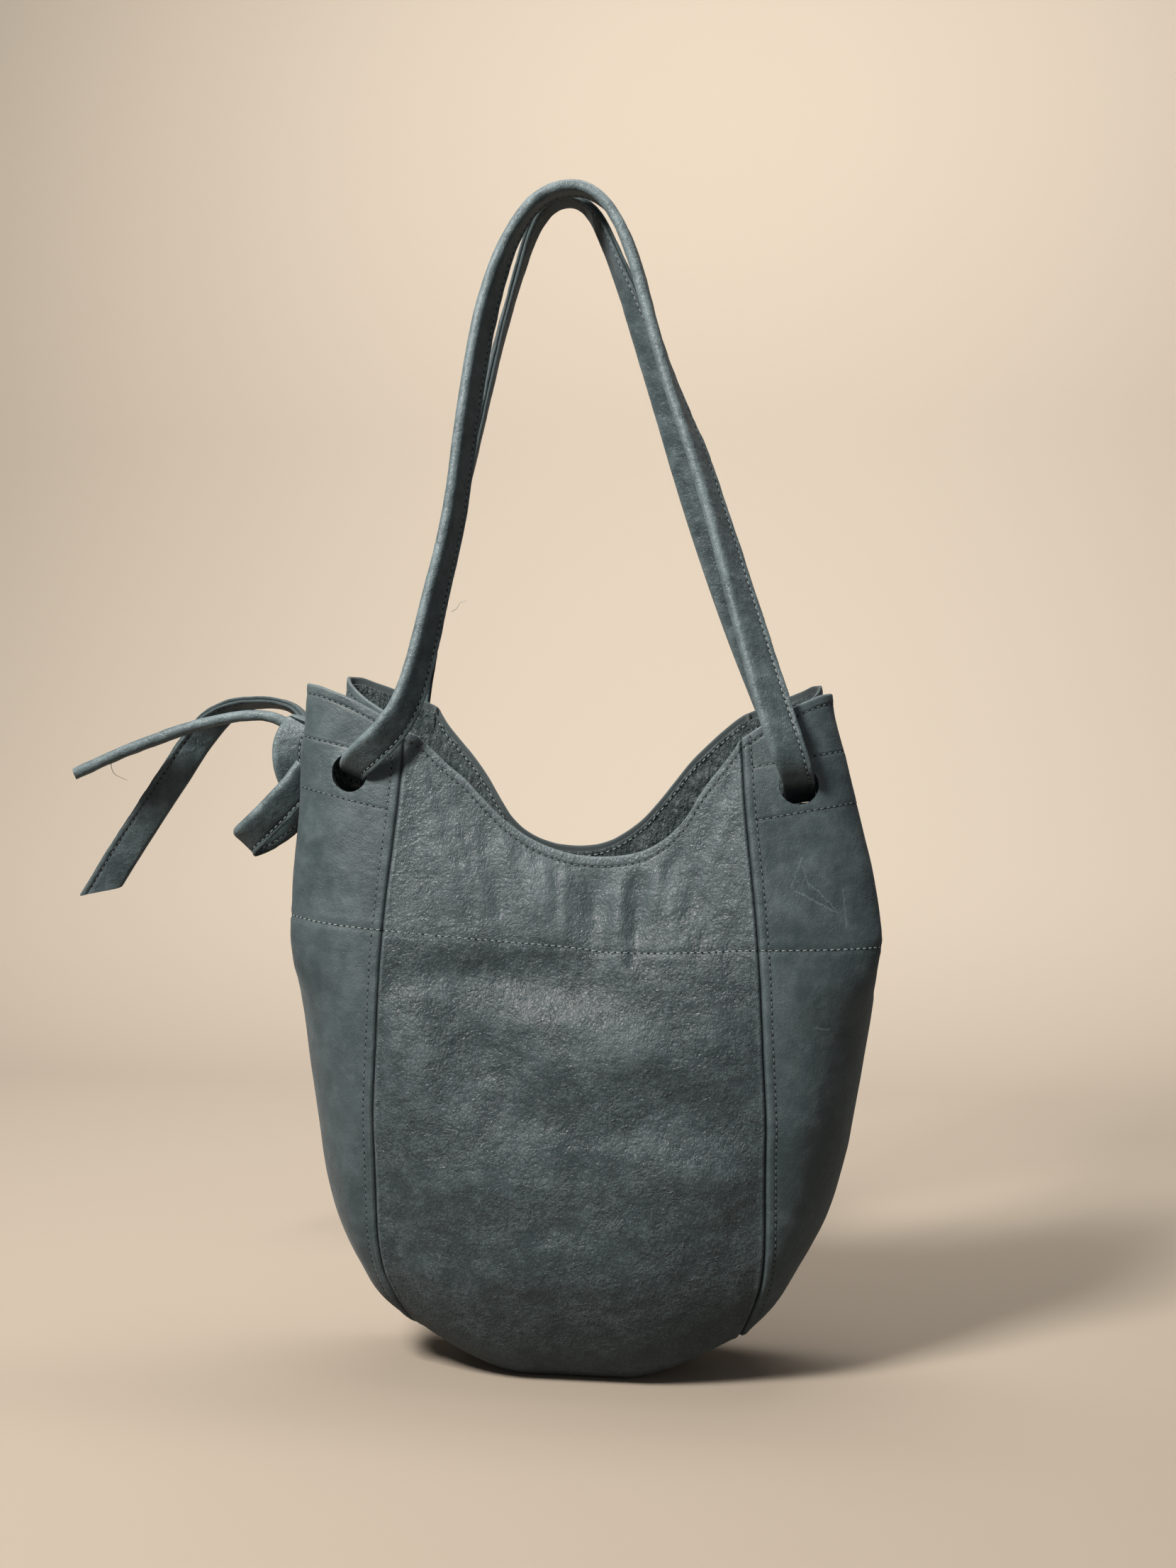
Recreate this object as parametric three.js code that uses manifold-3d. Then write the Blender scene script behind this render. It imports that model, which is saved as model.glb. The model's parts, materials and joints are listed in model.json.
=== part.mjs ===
// Leather hobo bag: one long body panel (front, base and back), two tongue-shaped
// side gussets with an inward fold at the top, inner facings, reinforcement bands
// round the strap holes, and one folded strap that runs through the holes, makes
// two handle loops and is tied at the left side in a bow with two free tails.
//
// Units are millimetres. X is to the bag's right (seen from the front), Y points to
// the back, Z is up. The origin is the middle of the flat base.

import * as THREE from 'three';
import Module from 'manifold-3d';

// ---------------------------------------------------------------- driving sizes
const LEATHER_T = 1.8;          // panels and gussets
const FACING_T = 1.0;           // inner facing
const BAND_T = 1.0;             // reinforcement band round the holes
const LAYER_GAP = 0.45;         // between stitched layers
const SEAM_GAP = 0.2;           // each piece stands this far back from a seam line

const SEAM_TOP_FRONT = 351;     // height of the front seams at the top edge
const SEAM_TOP_BACK = 368;      // height of the back seams at the top edge
const TIP_Z = 19;               // height of the gusset tongue's tip
const SCOOP_FRONT_Z = 283;      // lowest point of the front scoop
const SCOOP_BACK_Z = 289;       // lowest point of the back scoop

const BASE_FLAT_U = 0.3;        // share of the base's half width that lies flat

const HOLE_X = 122.8;           // strap holes, |X|
const HOLE_Z = 328.2;           // strap holes, height before the sag
const HOLE_R = 10.6;            // strap hole radius in the solids
const BAND_LOW_Z = 313;         // reinforcement band, lower stitch line
const BAND_HIGH_Z = 344;        // reinforcement band, upper stitch line
const RING_Z = 240;             // lower edge of the facings

const STRAP_W = 19;             // folded strap, width
const STRAP_T = 6.4;            // folded strap, thickness at its fold
const PASS_W = 17.2;            // strap width where it is gathered in a hole
const PASS_END_Y = 44.8;        // where the strap leaves the hole
const PIVOT_Y = 49;             // where a handle starts to swing
const PIVOT_X = 120.5;
const HOLE_Z_LEFT = 331.5;      // hole heights after the sag
const HOLE_Z_RIGHT = 324.9;

// ---------------------------------------------------------------- small maths
const lerp = (a, b, t) => a + (b - a) * t;
const clamp = (x, a, b) => Math.min(b, Math.max(a, x));
const smooth = (a, b, x) => { const t = clamp((x - a) / (b - a), 0, 1); return t * t * (3 - 2 * t); };

// monotone cubic interpolation through (xs, ys)
function pchip(xs, ys) {
  const n = xs.length, h = [], d = [], m = new Array(n).fill(0);
  for (let i = 0; i < n - 1; i++) { h.push(xs[i + 1] - xs[i]); d.push((ys[i + 1] - ys[i]) / h[i]); }
  m[0] = d[0]; m[n - 1] = d[n - 2];
  for (let i = 1; i < n - 1; i++) {
    if (d[i - 1] * d[i] <= 0) m[i] = 0;
    else {
      const w1 = 2 * h[i] + h[i - 1], w2 = h[i] + 2 * h[i - 1];
      m[i] = (w1 + w2) / (w1 / d[i - 1] + w2 / d[i]);
    }
  }
  return (x) => {
    const t0 = clamp(x, xs[0], xs[n - 1]);
    let i = 0; while (i < n - 2 && t0 > xs[i + 1]) i++;
    const t = (t0 - xs[i]) / h[i], t2 = t * t, t3 = t2 * t;
    return (2 * t3 - 3 * t2 + 1) * ys[i] + (t3 - 2 * t2 + t) * h[i] * m[i]
      + (-2 * t3 + 3 * t2) * ys[i + 1] + (t3 - t2) * h[i] * m[i + 1];
  };
}

// a space curve through points, by share of its length
function spaceCurve(pts) {
  const t = [0];
  for (let i = 1; i < pts.length; i++) {
    let s = 0; for (let k = 0; k < pts[0].length; k++) s += (pts[i][k] - pts[i - 1][k]) ** 2;
    t.push(t[i - 1] + Math.sqrt(s));
  }
  const L = t[t.length - 1], tt = t.map((x) => x / L);
  const f = pts[0].map((_, k) => pchip(tt, pts.map((p) => p[k])));
  const g = (v) => f.map((fk) => fk(v));
  g.length_mm = L;
  return g;
}

// ---------------------------------------------------------------- bag surfaces
// front seam on the right side: |X|, |Y|, Z from the top edge to the tongue's tip
const SEAM = spaceCurve([
  [92.0, 41, SEAM_TOP_FRONT], [94.1, 45, 319.3], [97.1, 48, 288.8], [100.5, 52, 255.8],
  [103.1, 55, 219.2], [104.6, 56, 183.4], [106.1, 56, 143.8], [105.6, 54, 117.8],
  [105.5, 52, 100.3], [105.2, 50, 80.9], [103.2, 45, 60.5], [99.9, 40, 48.5],
  [94.5, 30, 33.7], [90, 16, 23], [88, 0, TIP_Z]]);
// middle of the body panel: |Y|, Z from the scoop to the middle of the base
const MID_FRONT = spaceCurve([
  [38, SCOOP_FRONT_Z], [43, 258], [50, 228], [57, 193], [62, 158], [65, 126], [66, 98],
  [63.5, 68], [57, 43], [48, 24], [38, 10], [30, 3.2], [24, 0], [12, 0], [0, 0]]);
const MID_BACK = spaceCurve([
  [38, SCOOP_BACK_Z], [43, 262], [50, 230], [57, 193], [62, 158], [65, 126], [66, 98],
  [63.5, 68], [57, 43], [48, 24], [38, 10], [30, 3.2], [24, 0], [12, 0], [0, 0]]);
// outermost point of a gusset by height
const WIDE = pchip(
  [19, 22, 28, 38, 50.8, 70.6, 90, 108, 135, 176.5, 214, 238, 253, 287, 319, 352, 392],
  [88, 94, 101, 111, 120.6, 132.6, 141, 146, 150.6, 158, 164.5, 167.5, 166.5, 162, 157, 152, 149]);
// top edge of a gusset, from the front seam (-1) over the folds (+-0.5) to the back seam (1)
const GUSSET_TOP = pchip([-1, -0.875, -0.75, -0.625, -0.5, -0.4, -0.25, 0, 0.25, 0.4, 0.5, 0.625, 0.75, 0.875, 1],
  [SEAM_TOP_FRONT, 361, 369, 374.5, 376.5, 371, 362, 355, 368, 379, 384, 384, 380.5, 375, SEAM_TOP_BACK]);
// the top of a gusset leans in, more at the right side and at the back
const LEAN = pchip([240, 280, 300, 318, 343, 371, 392], [0, 0.08, 0.25, 0.4, 0.62, 1, 1.15]);
const LEAN_BY = (side, face) => (side < 0 ? (face < 0 ? 1.5 : -10) : (face < 0 ? -9.3 : -14));
const SIDE_ADD_LEFT = pchip([19, 30, 42, 60, 105, 152, 176, 200, 215, 230, 248, 272, 295, 319, 343, 392],
  [0, 1.5, 2.5, 0, -0.4, -1.5, -1.8, -2.6, -5, -6.8, -6.9, -4.7, -3.5, -2, 0, 0]);
const SIDE_ADD_RIGHT = pchip([19, 30, 42, 64, 87, 110, 133, 204, 230, 251, 392],
  [0, -2, -2.6, -4.2, -2.8, -1.7, 0, -0.6, -2.3, 0, 0]);
// how the scoop's depth fades from the middle to the left (-1) and right (1) seam
const SCOOP_FRONT = pchip(
  [-1, -0.94, -0.84, -0.74, -0.64, -0.545, -0.446, -0.347, -0.25, -0.15, -0.05, 0.05, 0.16, 0.25, 0.326, 0.422,
    0.518, 0.614, 0.68, 0.715, 0.755, 0.804, 0.9, 0.96, 1],
  [0, 0.025, 0.136, 0.264, 0.371, 0.504, 0.637, 0.745, 0.83, 0.89, 0.932, 0.957, 0.965, 0.957, 0.943, 0.908,
    0.84, 0.735, 0.63, 0.555, 0.46, 0.362, 0.195, 0.085, 0]);
const SCOOP_BACK = pchip(
  [-1, -0.93, -0.84, -0.758, -0.664, -0.567, -0.503, -0.398, -0.292, -0.187, -0.082, 0.021, 0.126, 0.225, 0.33,
    0.433, 0.536, 0.639, 0.742, 0.845, 0.948, 1],
  [0, 0.13, 0.255, 0.365, 0.515, 0.705, 0.815, 0.919, 0.975, 1.003, 1.01, 1.0, 0.965, 0.9, 0.805,
    0.672, 0.52, 0.368, 0.245, 0.133, 0.036, 0]);
// while the fold fades out, the widest point is part of the way round: make up for it
const FOLD_FILL = pchip([0, 0.05, 0.1, 0.2, 0.25, 0.3, 0.4, 0.5, 0.6, 0.7, 0.8, 0.9, 1],
  [0, 0.05, 0.105, 0.182, 0.194, 0.194, 0.179, 0.153, 0.123, 0.092, 0.061, 0.03, 0]);

// share of the way down, 0 at the top edge and 1 at the tongue's tip
const drop = (v) => (SEAM_TOP_FRONT - SEAM(v)[2]) / (SEAM_TOP_FRONT - TIP_Z);

function seamPoint(side, face, v) {            // side -1 left, 1 right; face -1 front, 1 back
  const [x, y, z] = SEAM(v);
  const zz = face < 0 ? z : SEAM_TOP_BACK - (SEAM_TOP_BACK - TIP_Z) * drop(v);
  return [side * x, face * y, zz];
}

// body panel: u across (-1 left seam, 1 right seam), w along (-1 front top, 0 base, 1 back top)
function bodyPoint(u, w) {
  const face = w <= 0 ? -1 : 1, v = 1 - Math.abs(w);
  const s = seamPoint(1, face, v);
  const [my, mz] = (face < 0 ? MID_FRONT : MID_BACK)(v);
  const a = Math.abs(u);
  const flat = a < BASE_FLAT_U ? 1 : 1 - ((a - BASE_FLAT_U) / (1 - BASE_FLAT_U)) ** 1.6;
  const gz = lerp((face < 0 ? SCOOP_FRONT : SCOOP_BACK)(u), flat, smooth(0, 0.35, v));
  const gy = lerp(1 - a ** 2.2, flat, smooth(0.75, 0.95, v));
  return [u * s[0], face * lerp(Math.abs(s[1]), my, gy), lerp(s[2], mz, gz)];
}

const bez = (p0, p1, p2, p3, t) => {
  const q = 1 - t;
  return [0, 1].map((k) => q * q * q * p0[k] + 3 * q * q * t * p1[k] + 3 * q * t * t * p2[k] + t * t * t * p3[k]);
};

// gusset: s across (-1 front seam, 1 back seam), v down (0 top edge, 1 tip)
function gussetPoint(side, s, v) {
  const face = s <= 0 ? -1 : 1, a = 1 - Math.abs(s);       // a: 0 at the seam, 1 in the middle
  const top = GUSSET_TOP(s), z = top - (top - TIP_Z) * drop(v);
  const [sx, sy] = SEAM(v);
  const fold = smooth(190, 300, z), ph = a * Math.PI / 2;
  let w = WIDE(z) + (side < 0 ? SIDE_ADD_LEFT : SIDE_ADD_RIGHT)(z) + LEAN(z) * LEAN_BY(side, face);
  w += (w - sx) * FOLD_FILL(fold);
  const open = [sx + (w - sx) * Math.sin(ph), sy * Math.cos(ph)];
  let p = open;
  if (fold > 0) {
    const valley = 104;
    const q = a < 0.5
      ? bez([sx, sy], [sx + 24, sy], [w, 37], [w, 25], a * 2)
      : bez([w, 25], [w, 11], [valley, 8], [valley, 0], a * 2 - 1);
    p = [lerp(open[0], q[0], fold), lerp(open[1], q[1], fold)];
  }
  return [side * p[0], face * p[1], z];
}

// the bag hangs a little lower at its right
const sag = (p) => [p[0], p[1], p[2] - 0.027 * p[0] * smooth(80, 330, p[2])];

// ---------------------------------------------------------------- solids from surfaces
const sub3 = (a, b) => [a[0] - b[0], a[1] - b[1], a[2] - b[2]];
const add3 = (a, b, k = 1) => [a[0] + k * b[0], a[1] + k * b[1], a[2] + k * b[2]];
const cross3 = (a, b) => [a[1] * b[2] - a[2] * b[1], a[2] * b[0] - a[0] * b[2], a[0] * b[1] - a[1] * b[0]];
const dot3 = (a, b) => a[0] * b[0] + a[1] * b[1] + a[2] * b[2];
const norm3 = (a) => { const l = Math.hypot(...a) || 1; return [a[0] / l, a[1] / l, a[2] / l]; };

// outward normals of the two surfaces
function bodyNormal(u, w) {
  const e = 0.004;
  const du = sub3(bodyPoint(Math.min(u + e, 1), w), bodyPoint(Math.max(u - e, -1), w));
  const w0 = Math.max(w - e, -1), w1 = Math.min(w + e, 1);
  const dw = sub3(bodyPoint(u, w1), bodyPoint(u, w0));
  return norm3(cross3(du, dw).map((x) => -x));
}
function gussetNormal(side, s, v) {
  const e = 0.004;
  const ds = sub3(gussetPoint(side, Math.min(s + e, 1), v), gussetPoint(side, Math.max(s - e, -1), v));
  const dv = sub3(gussetPoint(side, s, Math.min(v + e, 1)), gussetPoint(side, s, Math.max(v - e, 0)));
  const n = norm3(cross3(ds, dv));
  return side > 0 ? n.map((x) => -x) : n;
}
// at a seam both pieces share the bisector of their normals
const seamNormal = (side, face, v) => norm3(add3(bodyNormal(side, face * (1 - v)), gussetNormal(side, face, Math.min(v, 0.98))));

// closed solid from a grid of outer points and normals, between two depths
function slab(P, N, d0, d1) {
  const R = P.length, C = P[0].length, pos = [], idx = [];
  const key = new Map(), id = (p) => {
    const k = p.map((x) => Math.round(x * 2e4)).join();
    if (!key.has(k)) { key.set(k, pos.length / 3); pos.push(...p); }
    return key.get(k);
  };
  const O = P.map((r, i) => r.map((p, j) => id(add3(p, N[i][j], -d0))));
  const I = P.map((r, i) => r.map((p, j) => id(add3(p, N[i][j], -d1))));
  const tri = (a, b, c) => { if (a !== b && b !== c && a !== c) idx.push(a, b, c); };
  const quad = (a, b, c, d) => { tri(a, b, c); tri(a, c, d); };
  for (let i = 0; i < R - 1; i++) for (let j = 0; j < C - 1; j++) {
    quad(O[i][j], O[i + 1][j], O[i + 1][j + 1], O[i][j + 1]);
    quad(I[i][j], I[i][j + 1], I[i + 1][j + 1], I[i + 1][j]);
  }
  for (let i = 0; i < R - 1; i++) {
    quad(O[i][0], I[i][0], I[i + 1][0], O[i + 1][0]);
    quad(O[i][C - 1], O[i + 1][C - 1], I[i + 1][C - 1], I[i][C - 1]);
  }
  for (let j = 0; j < C - 1; j++) {
    quad(O[0][j], O[0][j + 1], I[0][j + 1], I[0][j]);
    quad(O[R - 1][j], I[R - 1][j], I[R - 1][j + 1], O[R - 1][j + 1]);
  }
  return { pos, idx };
}
function volume({ pos, idx }) {
  let v = 0;
  const P = (i) => [pos[3 * i], pos[3 * i + 1], pos[3 * i + 2]];
  for (let t = 0; t < idx.length; t += 3) v += dot3(P(idx[t]), cross3(P(idx[t + 1]), P(idx[t + 2])));
  return v / 6;
}
function outward(m) {
  if (volume(m) < 0) for (let t = 0; t < m.idx.length; t += 3) [m.idx[t], m.idx[t + 1]] = [m.idx[t + 1], m.idx[t]];
  return m;
}
function mapPoints(m, f) {
  for (let i = 0; i < m.pos.length; i += 3) {
    const q = f([m.pos[i], m.pos[i + 1], m.pos[i + 2]]);
    m.pos[i] = q[0]; m.pos[i + 1] = q[1]; m.pos[i + 2] = q[2];
  }
  return m;
}

// rows shared by the panel and the gussets, so their seam edges run side by side
const ROWS = [0, 0.045, 0.1, 0.155, 0.2, 0.24, 0.275, 0.31, 0.345, 0.38, 0.42, 0.46, 0.52, 0.59, 0.66, 0.73, 0.79, 0.84, 0.885, 0.92, 0.95, 0.975, 0.992, 1];
const COLS = [-1, -0.9, -0.78, -0.66, -0.52, -0.4, -0.26, -0.1, 0.08, 0.24, 0.4, 0.54, 0.66, 0.76, 0.88, 1];
const SCOLS = [-1, -0.88, -0.76, -0.66, -0.59, -0.54, -0.5, -0.46, -0.4, -0.3, -0.18, -0.08, 0,
  0.08, 0.18, 0.3, 0.4, 0.46, 0.5, 0.54, 0.59, 0.66, 0.76, 0.88, 1];

// pull the two outer columns of a grid in from the seam by a distance
function pullIn(P, d) {
  const C = P[0].length;
  for (const r of P) {
    const a = norm3(sub3(r[1], r[0])), b = norm3(sub3(r[C - 2], r[C - 1]));
    r[0] = add3(r[0], a, d); r[C - 1] = add3(r[C - 1], b, d);
  }
}

function bodyGrid(wList, uList, inset, wOf = (u, w) => w) {
  const P = wList.map((w) => uList.map((u) => bodyPoint(u, wOf(u, w))));
  const N = wList.map((w) => uList.map((u) => {
    const ww = wOf(u, w);
    return Math.abs(u) === 1 ? seamNormal(Math.sign(u), ww <= 0 ? -1 : 1, 1 - Math.abs(ww)) : bodyNormal(u, ww);
  }));
  pullIn(P, inset);
  return [P, N];
}
function gussetGrid(side, vList, sList, inset, vOf = (s, v) => v) {
  const P = vList.map((v) => sList.map((s) => gussetPoint(side, s, vOf(s, v))));
  const N = vList.map((v) => sList.map((s) => {
    const vv = vOf(s, v);
    return Math.abs(s) === 1 ? seamNormal(side, s, vv) : gussetNormal(side, s, vv);
  }));
  pullIn(P, inset);
  return [P, N];
}
// v at which a surface column reaches a height
function vAt(f, z) {
  let a = 0, b = 1;
  for (let i = 0; i < 40; i++) { const m = (a + b) / 2; if (f(m)[2] > z) a = m; else b = m; }
  return (a + b) / 2;
}

// ---------------------------------------------------------------- booleans
const wasm = await Module();
wasm.setup();
const toSolid = (m) => new wasm.Manifold(new wasm.Mesh({
  numProp: 3, vertProperties: new Float32Array(m.pos), triVerts: new Uint32Array(m.idx) }));
function fromSolid(s) {
  const g = s.getMesh();
  return { pos: Array.from(g.vertProperties), idx: Array.from(g.triVerts) };
}
// round rod along Y through both walls of a gusset
function holeRod(x) {
  const pos = [], idx = [], n = 24, y0 = -70, y1 = 70;
  for (let i = 0; i < n; i++) {
    const a = 2 * Math.PI * i / n, c = x + HOLE_R * Math.cos(a), z = HOLE_Z + HOLE_R * Math.sin(a);
    pos.push(c, y0, z, c, y1, z);
  }
  const c0 = pos.length / 3; pos.push(x, y0, HOLE_Z); pos.push(x, y1, HOLE_Z);
  for (let i = 0; i < n; i++) {
    const a = 2 * i, b = 2 * ((i + 1) % n);
    idx.push(a, a + 1, b, b, a + 1, b + 1, c0, a, b, c0 + 1, b + 1, a + 1);
  }
  return outward({ pos, idx });
}
const cutHoles = (m, side) => fromSolid(toSolid(outward(m)).subtract(toSolid(holeRod(side * HOLE_X))));

// ---------------------------------------------------------------- strap
const OCT = [[1, 0.34], [0.8, 1], [-0.8, 1], [-1, 0.34], [-1, -0.34], [-0.8, -1], [0.8, -1], [1, -0.34]];
// strap along a path: each station is [x, y, z, width hint x, y, z, width, thickness]
function strap(stations, steps) {
  const c = spaceCurve(stations.map((s) => s.slice(0, 3)));
  const t = [0];
  for (let i = 1; i < stations.length; i++) t.push(t[i - 1] + Math.hypot(...sub3(stations[i], stations[i - 1])));
  const tt = t.map((x) => x / t[t.length - 1]);
  const f = [3, 4, 5, 6, 7].map((k) => pchip(tt, stations.map((s) => s[k])));
  const pos = [], idx = [], n = OCT.length, list = steps;
  list.forEach((v) => {
    const p = c(v), d = norm3(sub3(c(Math.min(v + 0.004, 1)), c(Math.max(v - 0.004, 0))));
    let w = [f[0](v), f[1](v), f[2](v)];
    w = norm3(add3(w, d, -dot3(w, d)));
    const h = cross3(d, w);
    for (const [a, b] of OCT) pos.push(...add3(add3(p, w, a * f[3](v) / 2), h, b * f[4](v) / 2));
  });
  const R = list.length;
  for (let i = 0; i < R - 1; i++) for (let j = 0; j < n; j++) {
    const a = i * n + j, b = i * n + (j + 1) % n;
    idx.push(a, b, b + n, a, b + n, a + n);
  }
  for (let j = 1; j < n - 1; j++) {
    idx.push(0, j + 1, j);
    idx.push((R - 1) * n, (R - 1) * n + j, (R - 1) * n + j + 1);
  }
  return outward({ pos, idx });
}
// stations at their own places, plus extra even steps
function stepsFor(stations, spacing) {
  const t = [0];
  for (let i = 1; i < stations.length; i++) t.push(t[i - 1] + Math.hypot(...sub3(stations[i], stations[i - 1])));
  const L = t[t.length - 1], out = [];
  for (let i = 0; i < t.length - 1; i++) {
    const k = Math.max(1, Math.round((t[i + 1] - t[i]) / spacing));
    for (let j = 0; j < k; j++) out.push((t[i] + (t[i + 1] - t[i]) * j / k) / L);
  }
  out.push(1);
  return out;
}

// ---------------------------------------------------------------- handle paths
const W = STRAP_W, T = STRAP_T;
const FRONT_HANDLE = [
  [-PIVOT_X, -49, 331.5, 0.6, 0.3, -0.6, 6, 5], [-111, -54.5, 338.5, 0.6, 0.3, -0.6, 12, T],
  [-98.5, -56.5, 349, 0.6, 0.4, -0.5, W, T], [-88.5, -53, 364.5, 0.6, 0.65, -0.3, W, T],
  [-82.7, -47, 389.6, 0.55, 0.8, 0, W, T], [-77.6, -40, 423, 0.48, 0.86, 0, W, T],
  [-68.2, -31, 474, 0.4, 0.92, 0, W, T], [-61.1, -24.5, 531.4, 0.4, 0.92, 0, W, T],
  [-52.8, -19, 582.8, 0.38, 0.92, 0, W, T], [-45.8, -16, 608.7, 0.3, 0.95, 0, W, T],
  [-35.7, -14, 634.2, 0, 1, 0, W, T], [-23.5, -12, 651.4, 0, 1, 0, W, T],
  [-13, -12, 656.9, 0, 1, 0, W, T],
  [-8, -12, 658, 0, 1, 0, W, T], [3, -12, 658, 0, 1, 0, W, T],
  [8, -12, 655.2, 0, 1, 0, W, T], [13.2, -12, 650.9, 0, 1, 0, W, T],
  [20, -12, 643.5, 0, 1, 0, W, T], [25.7, -13, 633.4, 0, 1, 0, W, T],
  [33.7, -14, 610.8, 0.05, 1, 0, W, T], [43.3, -16, 575, 0.08, 1, 0, W, T],
  [55.1, -20, 536.6, 0.25, 0.96, 0, W, T], [64.3, -24, 510.3, 0.4, 0.9, 0, W, T],
  [79.9, -32, 459.8, 0.54, 0.84, 0, W, T], [95.6, -41, 409.8, 0.78, 0.62, 0, W, T],
  [108.6, -50, 368.9, 0.96, 0.25, 0, W, T], [115.2, -54, 351, 1, 0, 0, W, T],
  [119.5, -54.2, 337, 1, 0, 0, 14, T], [PIVOT_X, -49, 324.9, 1, 0, 0, 6, 5]];
const BACK_HANDLE = [
  [-PIVOT_X, 49, 331.5, 0.75, -0.2, -0.6, 6, 5], [-116, 54.5, 343, 0.8, -0.15, -0.5, 12, T],
  [-112, 56.5, 359, 0.9, -0.1, -0.3, W, T], [-108.3, 52.5, 382, 0.98, -0.15, 0, W, T],
  [-102, 47, 404, 0.85, -0.5, 0, W, T], [-91, 40.5, 444, 0.5, -0.87, 0, W, T],
  [-79, 34, 488.5, 0.3, -0.95, 0, W, T], [-66, 27, 536, 0.25, -0.97, 0, W, T],
  [-56, 22, 572, 0.22, -0.98, 0, W, T], [-49, 19, 593.5, 0.2, -0.98, 0, W, T],
  [-41.3, 16, 614.5, 0.15, -0.99, 0, W, T], [-32, 14, 640, 0.05, -1, 0, W, T],
  [-24.7, 12, 653.1, 0, -1, 0, W, T], [-18, 12, 659.6, 0, -1, 0, W, T],
  [-13, 12, 661.2, 0, -1, 0, W, T], [-5, 12, 661.2, 0, -1, 0, W, T],
  [-0.5, 12, 658.4, 0, -1, 0, W, T], [3.8, 12, 653.6, 0.15, -0.99, 0, W, T],
  [10.2, 12, 643.1, 0.3, -0.95, 0, W, T], [17.3, 13, 626.1, 0.36, -0.93, 0, W, T],
  [24.4, 15, 608.2, 0.5, -0.87, 0, W, T], [37.5, 20, 570.2, 0.78, -0.62, 0, W, T],
  [49.2, 26, 532.5, 0.88, -0.48, 0, W, T], [61, 32, 493.7, 0.95, -0.3, 0, W, T],
  [76, 38.5, 448, 1, -0.1, 0, W, T], [89, 45, 411, 1, 0, 0, W, T],
  [102.5, 51.5, 376, 1, 0, 0, W, T], [112.5, 55.5, 350.5, 1, 0, 0, W, T],
  [118.5, 54.4, 336.5, 1, 0, 0, 14, T], [PIVOT_X, 49, 324.9, 1, 0, 0, 6, 5]];
const RIGHT_PASS = [
  [HOLE_X, -PASS_END_Y, HOLE_Z_RIGHT, 1, 0, 0, PASS_W, T],
  [HOLE_X, 0, HOLE_Z_RIGHT, 1, 0, 0, PASS_W, T],
  [HOLE_X, PASS_END_Y, HOLE_Z_RIGHT, 1, 0, 0, PASS_W, T]];
const leftRun = (f) => [
  [-HOLE_X, f * PASS_END_Y, HOLE_Z_LEFT, 1, 0, 0, PASS_W, T],
  [-HOLE_X, f * 34, HOLE_Z_LEFT, 1, 0, 0, PASS_W, T],
  [-HOLE_X, f * 24, HOLE_Z_LEFT, 0.7, 0, 0.7, PASS_W, T],
  [-HOLE_X, f * 14, HOLE_Z_LEFT, 0, 0, 1, PASS_W, T],
  [-HOLE_X - 0.6, f * 9.5, HOLE_Z_LEFT + 0.2, 0, 0, 1, PASS_W, T],
  [-HOLE_X - 3.2, f * 6, HOLE_Z_LEFT + 0.8, 0, 0, 1, PASS_W, T],
  [-HOLE_X - 8, f * 4.4, HOLE_Z_LEFT + 2, 0, 0, 1, PASS_W, T],
  [-144, f * 4.3, HOLE_Z_LEFT + 6, 0, 0, 1, PASS_W, T],
  [-157.2, f * 4.3, HOLE_Z_LEFT + 10, 0, 0, 1, PASS_W, T]];
const UPPER_TAIL = [
  [-182.5, 0, 364.6, 0, 1, 0, W, T], [-197, 0, 364.8, 0, 1, 0, W, T],
  [-216.3, 0, 361.7, 0, 1, 0, W, T], [-237, 0, 356.9, 0, 1, 0, W, T],
  [-255, 0, 351.2, 0, 1, 0, W, T], [-270, 0, 346, 0, 1, 0, W, T],
  [-300.5, 0, 332.8, 0, 1, 0, W, T]];
const LOWER_TAIL = [
  [-171, 17.5, 370.5, 0, 0, 1, 15, 5.2], [-192.6, 21, 374.6, 0, -0.2, 1, W, T],
  [-210.5, 24.5, 371.5, -0.3, -0.3, 1, W, T], [-227.5, 26, 359, -0.6, -0.3, 0.8, W, T],
  [-247.7, 26, 332.5, -0.8, -0.3, 0.55, W, T], [-265.4, 26, 307, -0.84, -0.3, 0.5, W, T],
  [-283.5, 26, 279.5, -0.85, -0.3, 0.48, W, T], [-295.5, 26, 260.5, -0.85, -0.3, 0.48, W, T]];
const BOW_LOOP = [
  [-163.5, -15, 326.5, 0.68, 0, -0.74, W, T], [-172, -15.2, 317.5, 0.68, 0, -0.74, W, T],
  [-182, -14.6, 306.5, 0.68, 0, -0.74, W, T], [-190, -13, 297.6, 0.68, 0, -0.74, W, T],
  [-194.6, -9.6, 292.2, 0.68, 0, -0.74, W, T], [-194.8, -5.6, 291, 0.68, 0, -0.74, W, T],
  [-190.5, -2.7, 293.6, 0.68, 0, -0.74, W, T], [-180, -2.4, 301.5, 0.68, 0, -0.74, W, T],
  [-170, -2.6, 309, 0.68, 0, -0.74, W, T], [-163.5, -3, 313.5, 0.68, 0, -0.74, W, T]];

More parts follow.
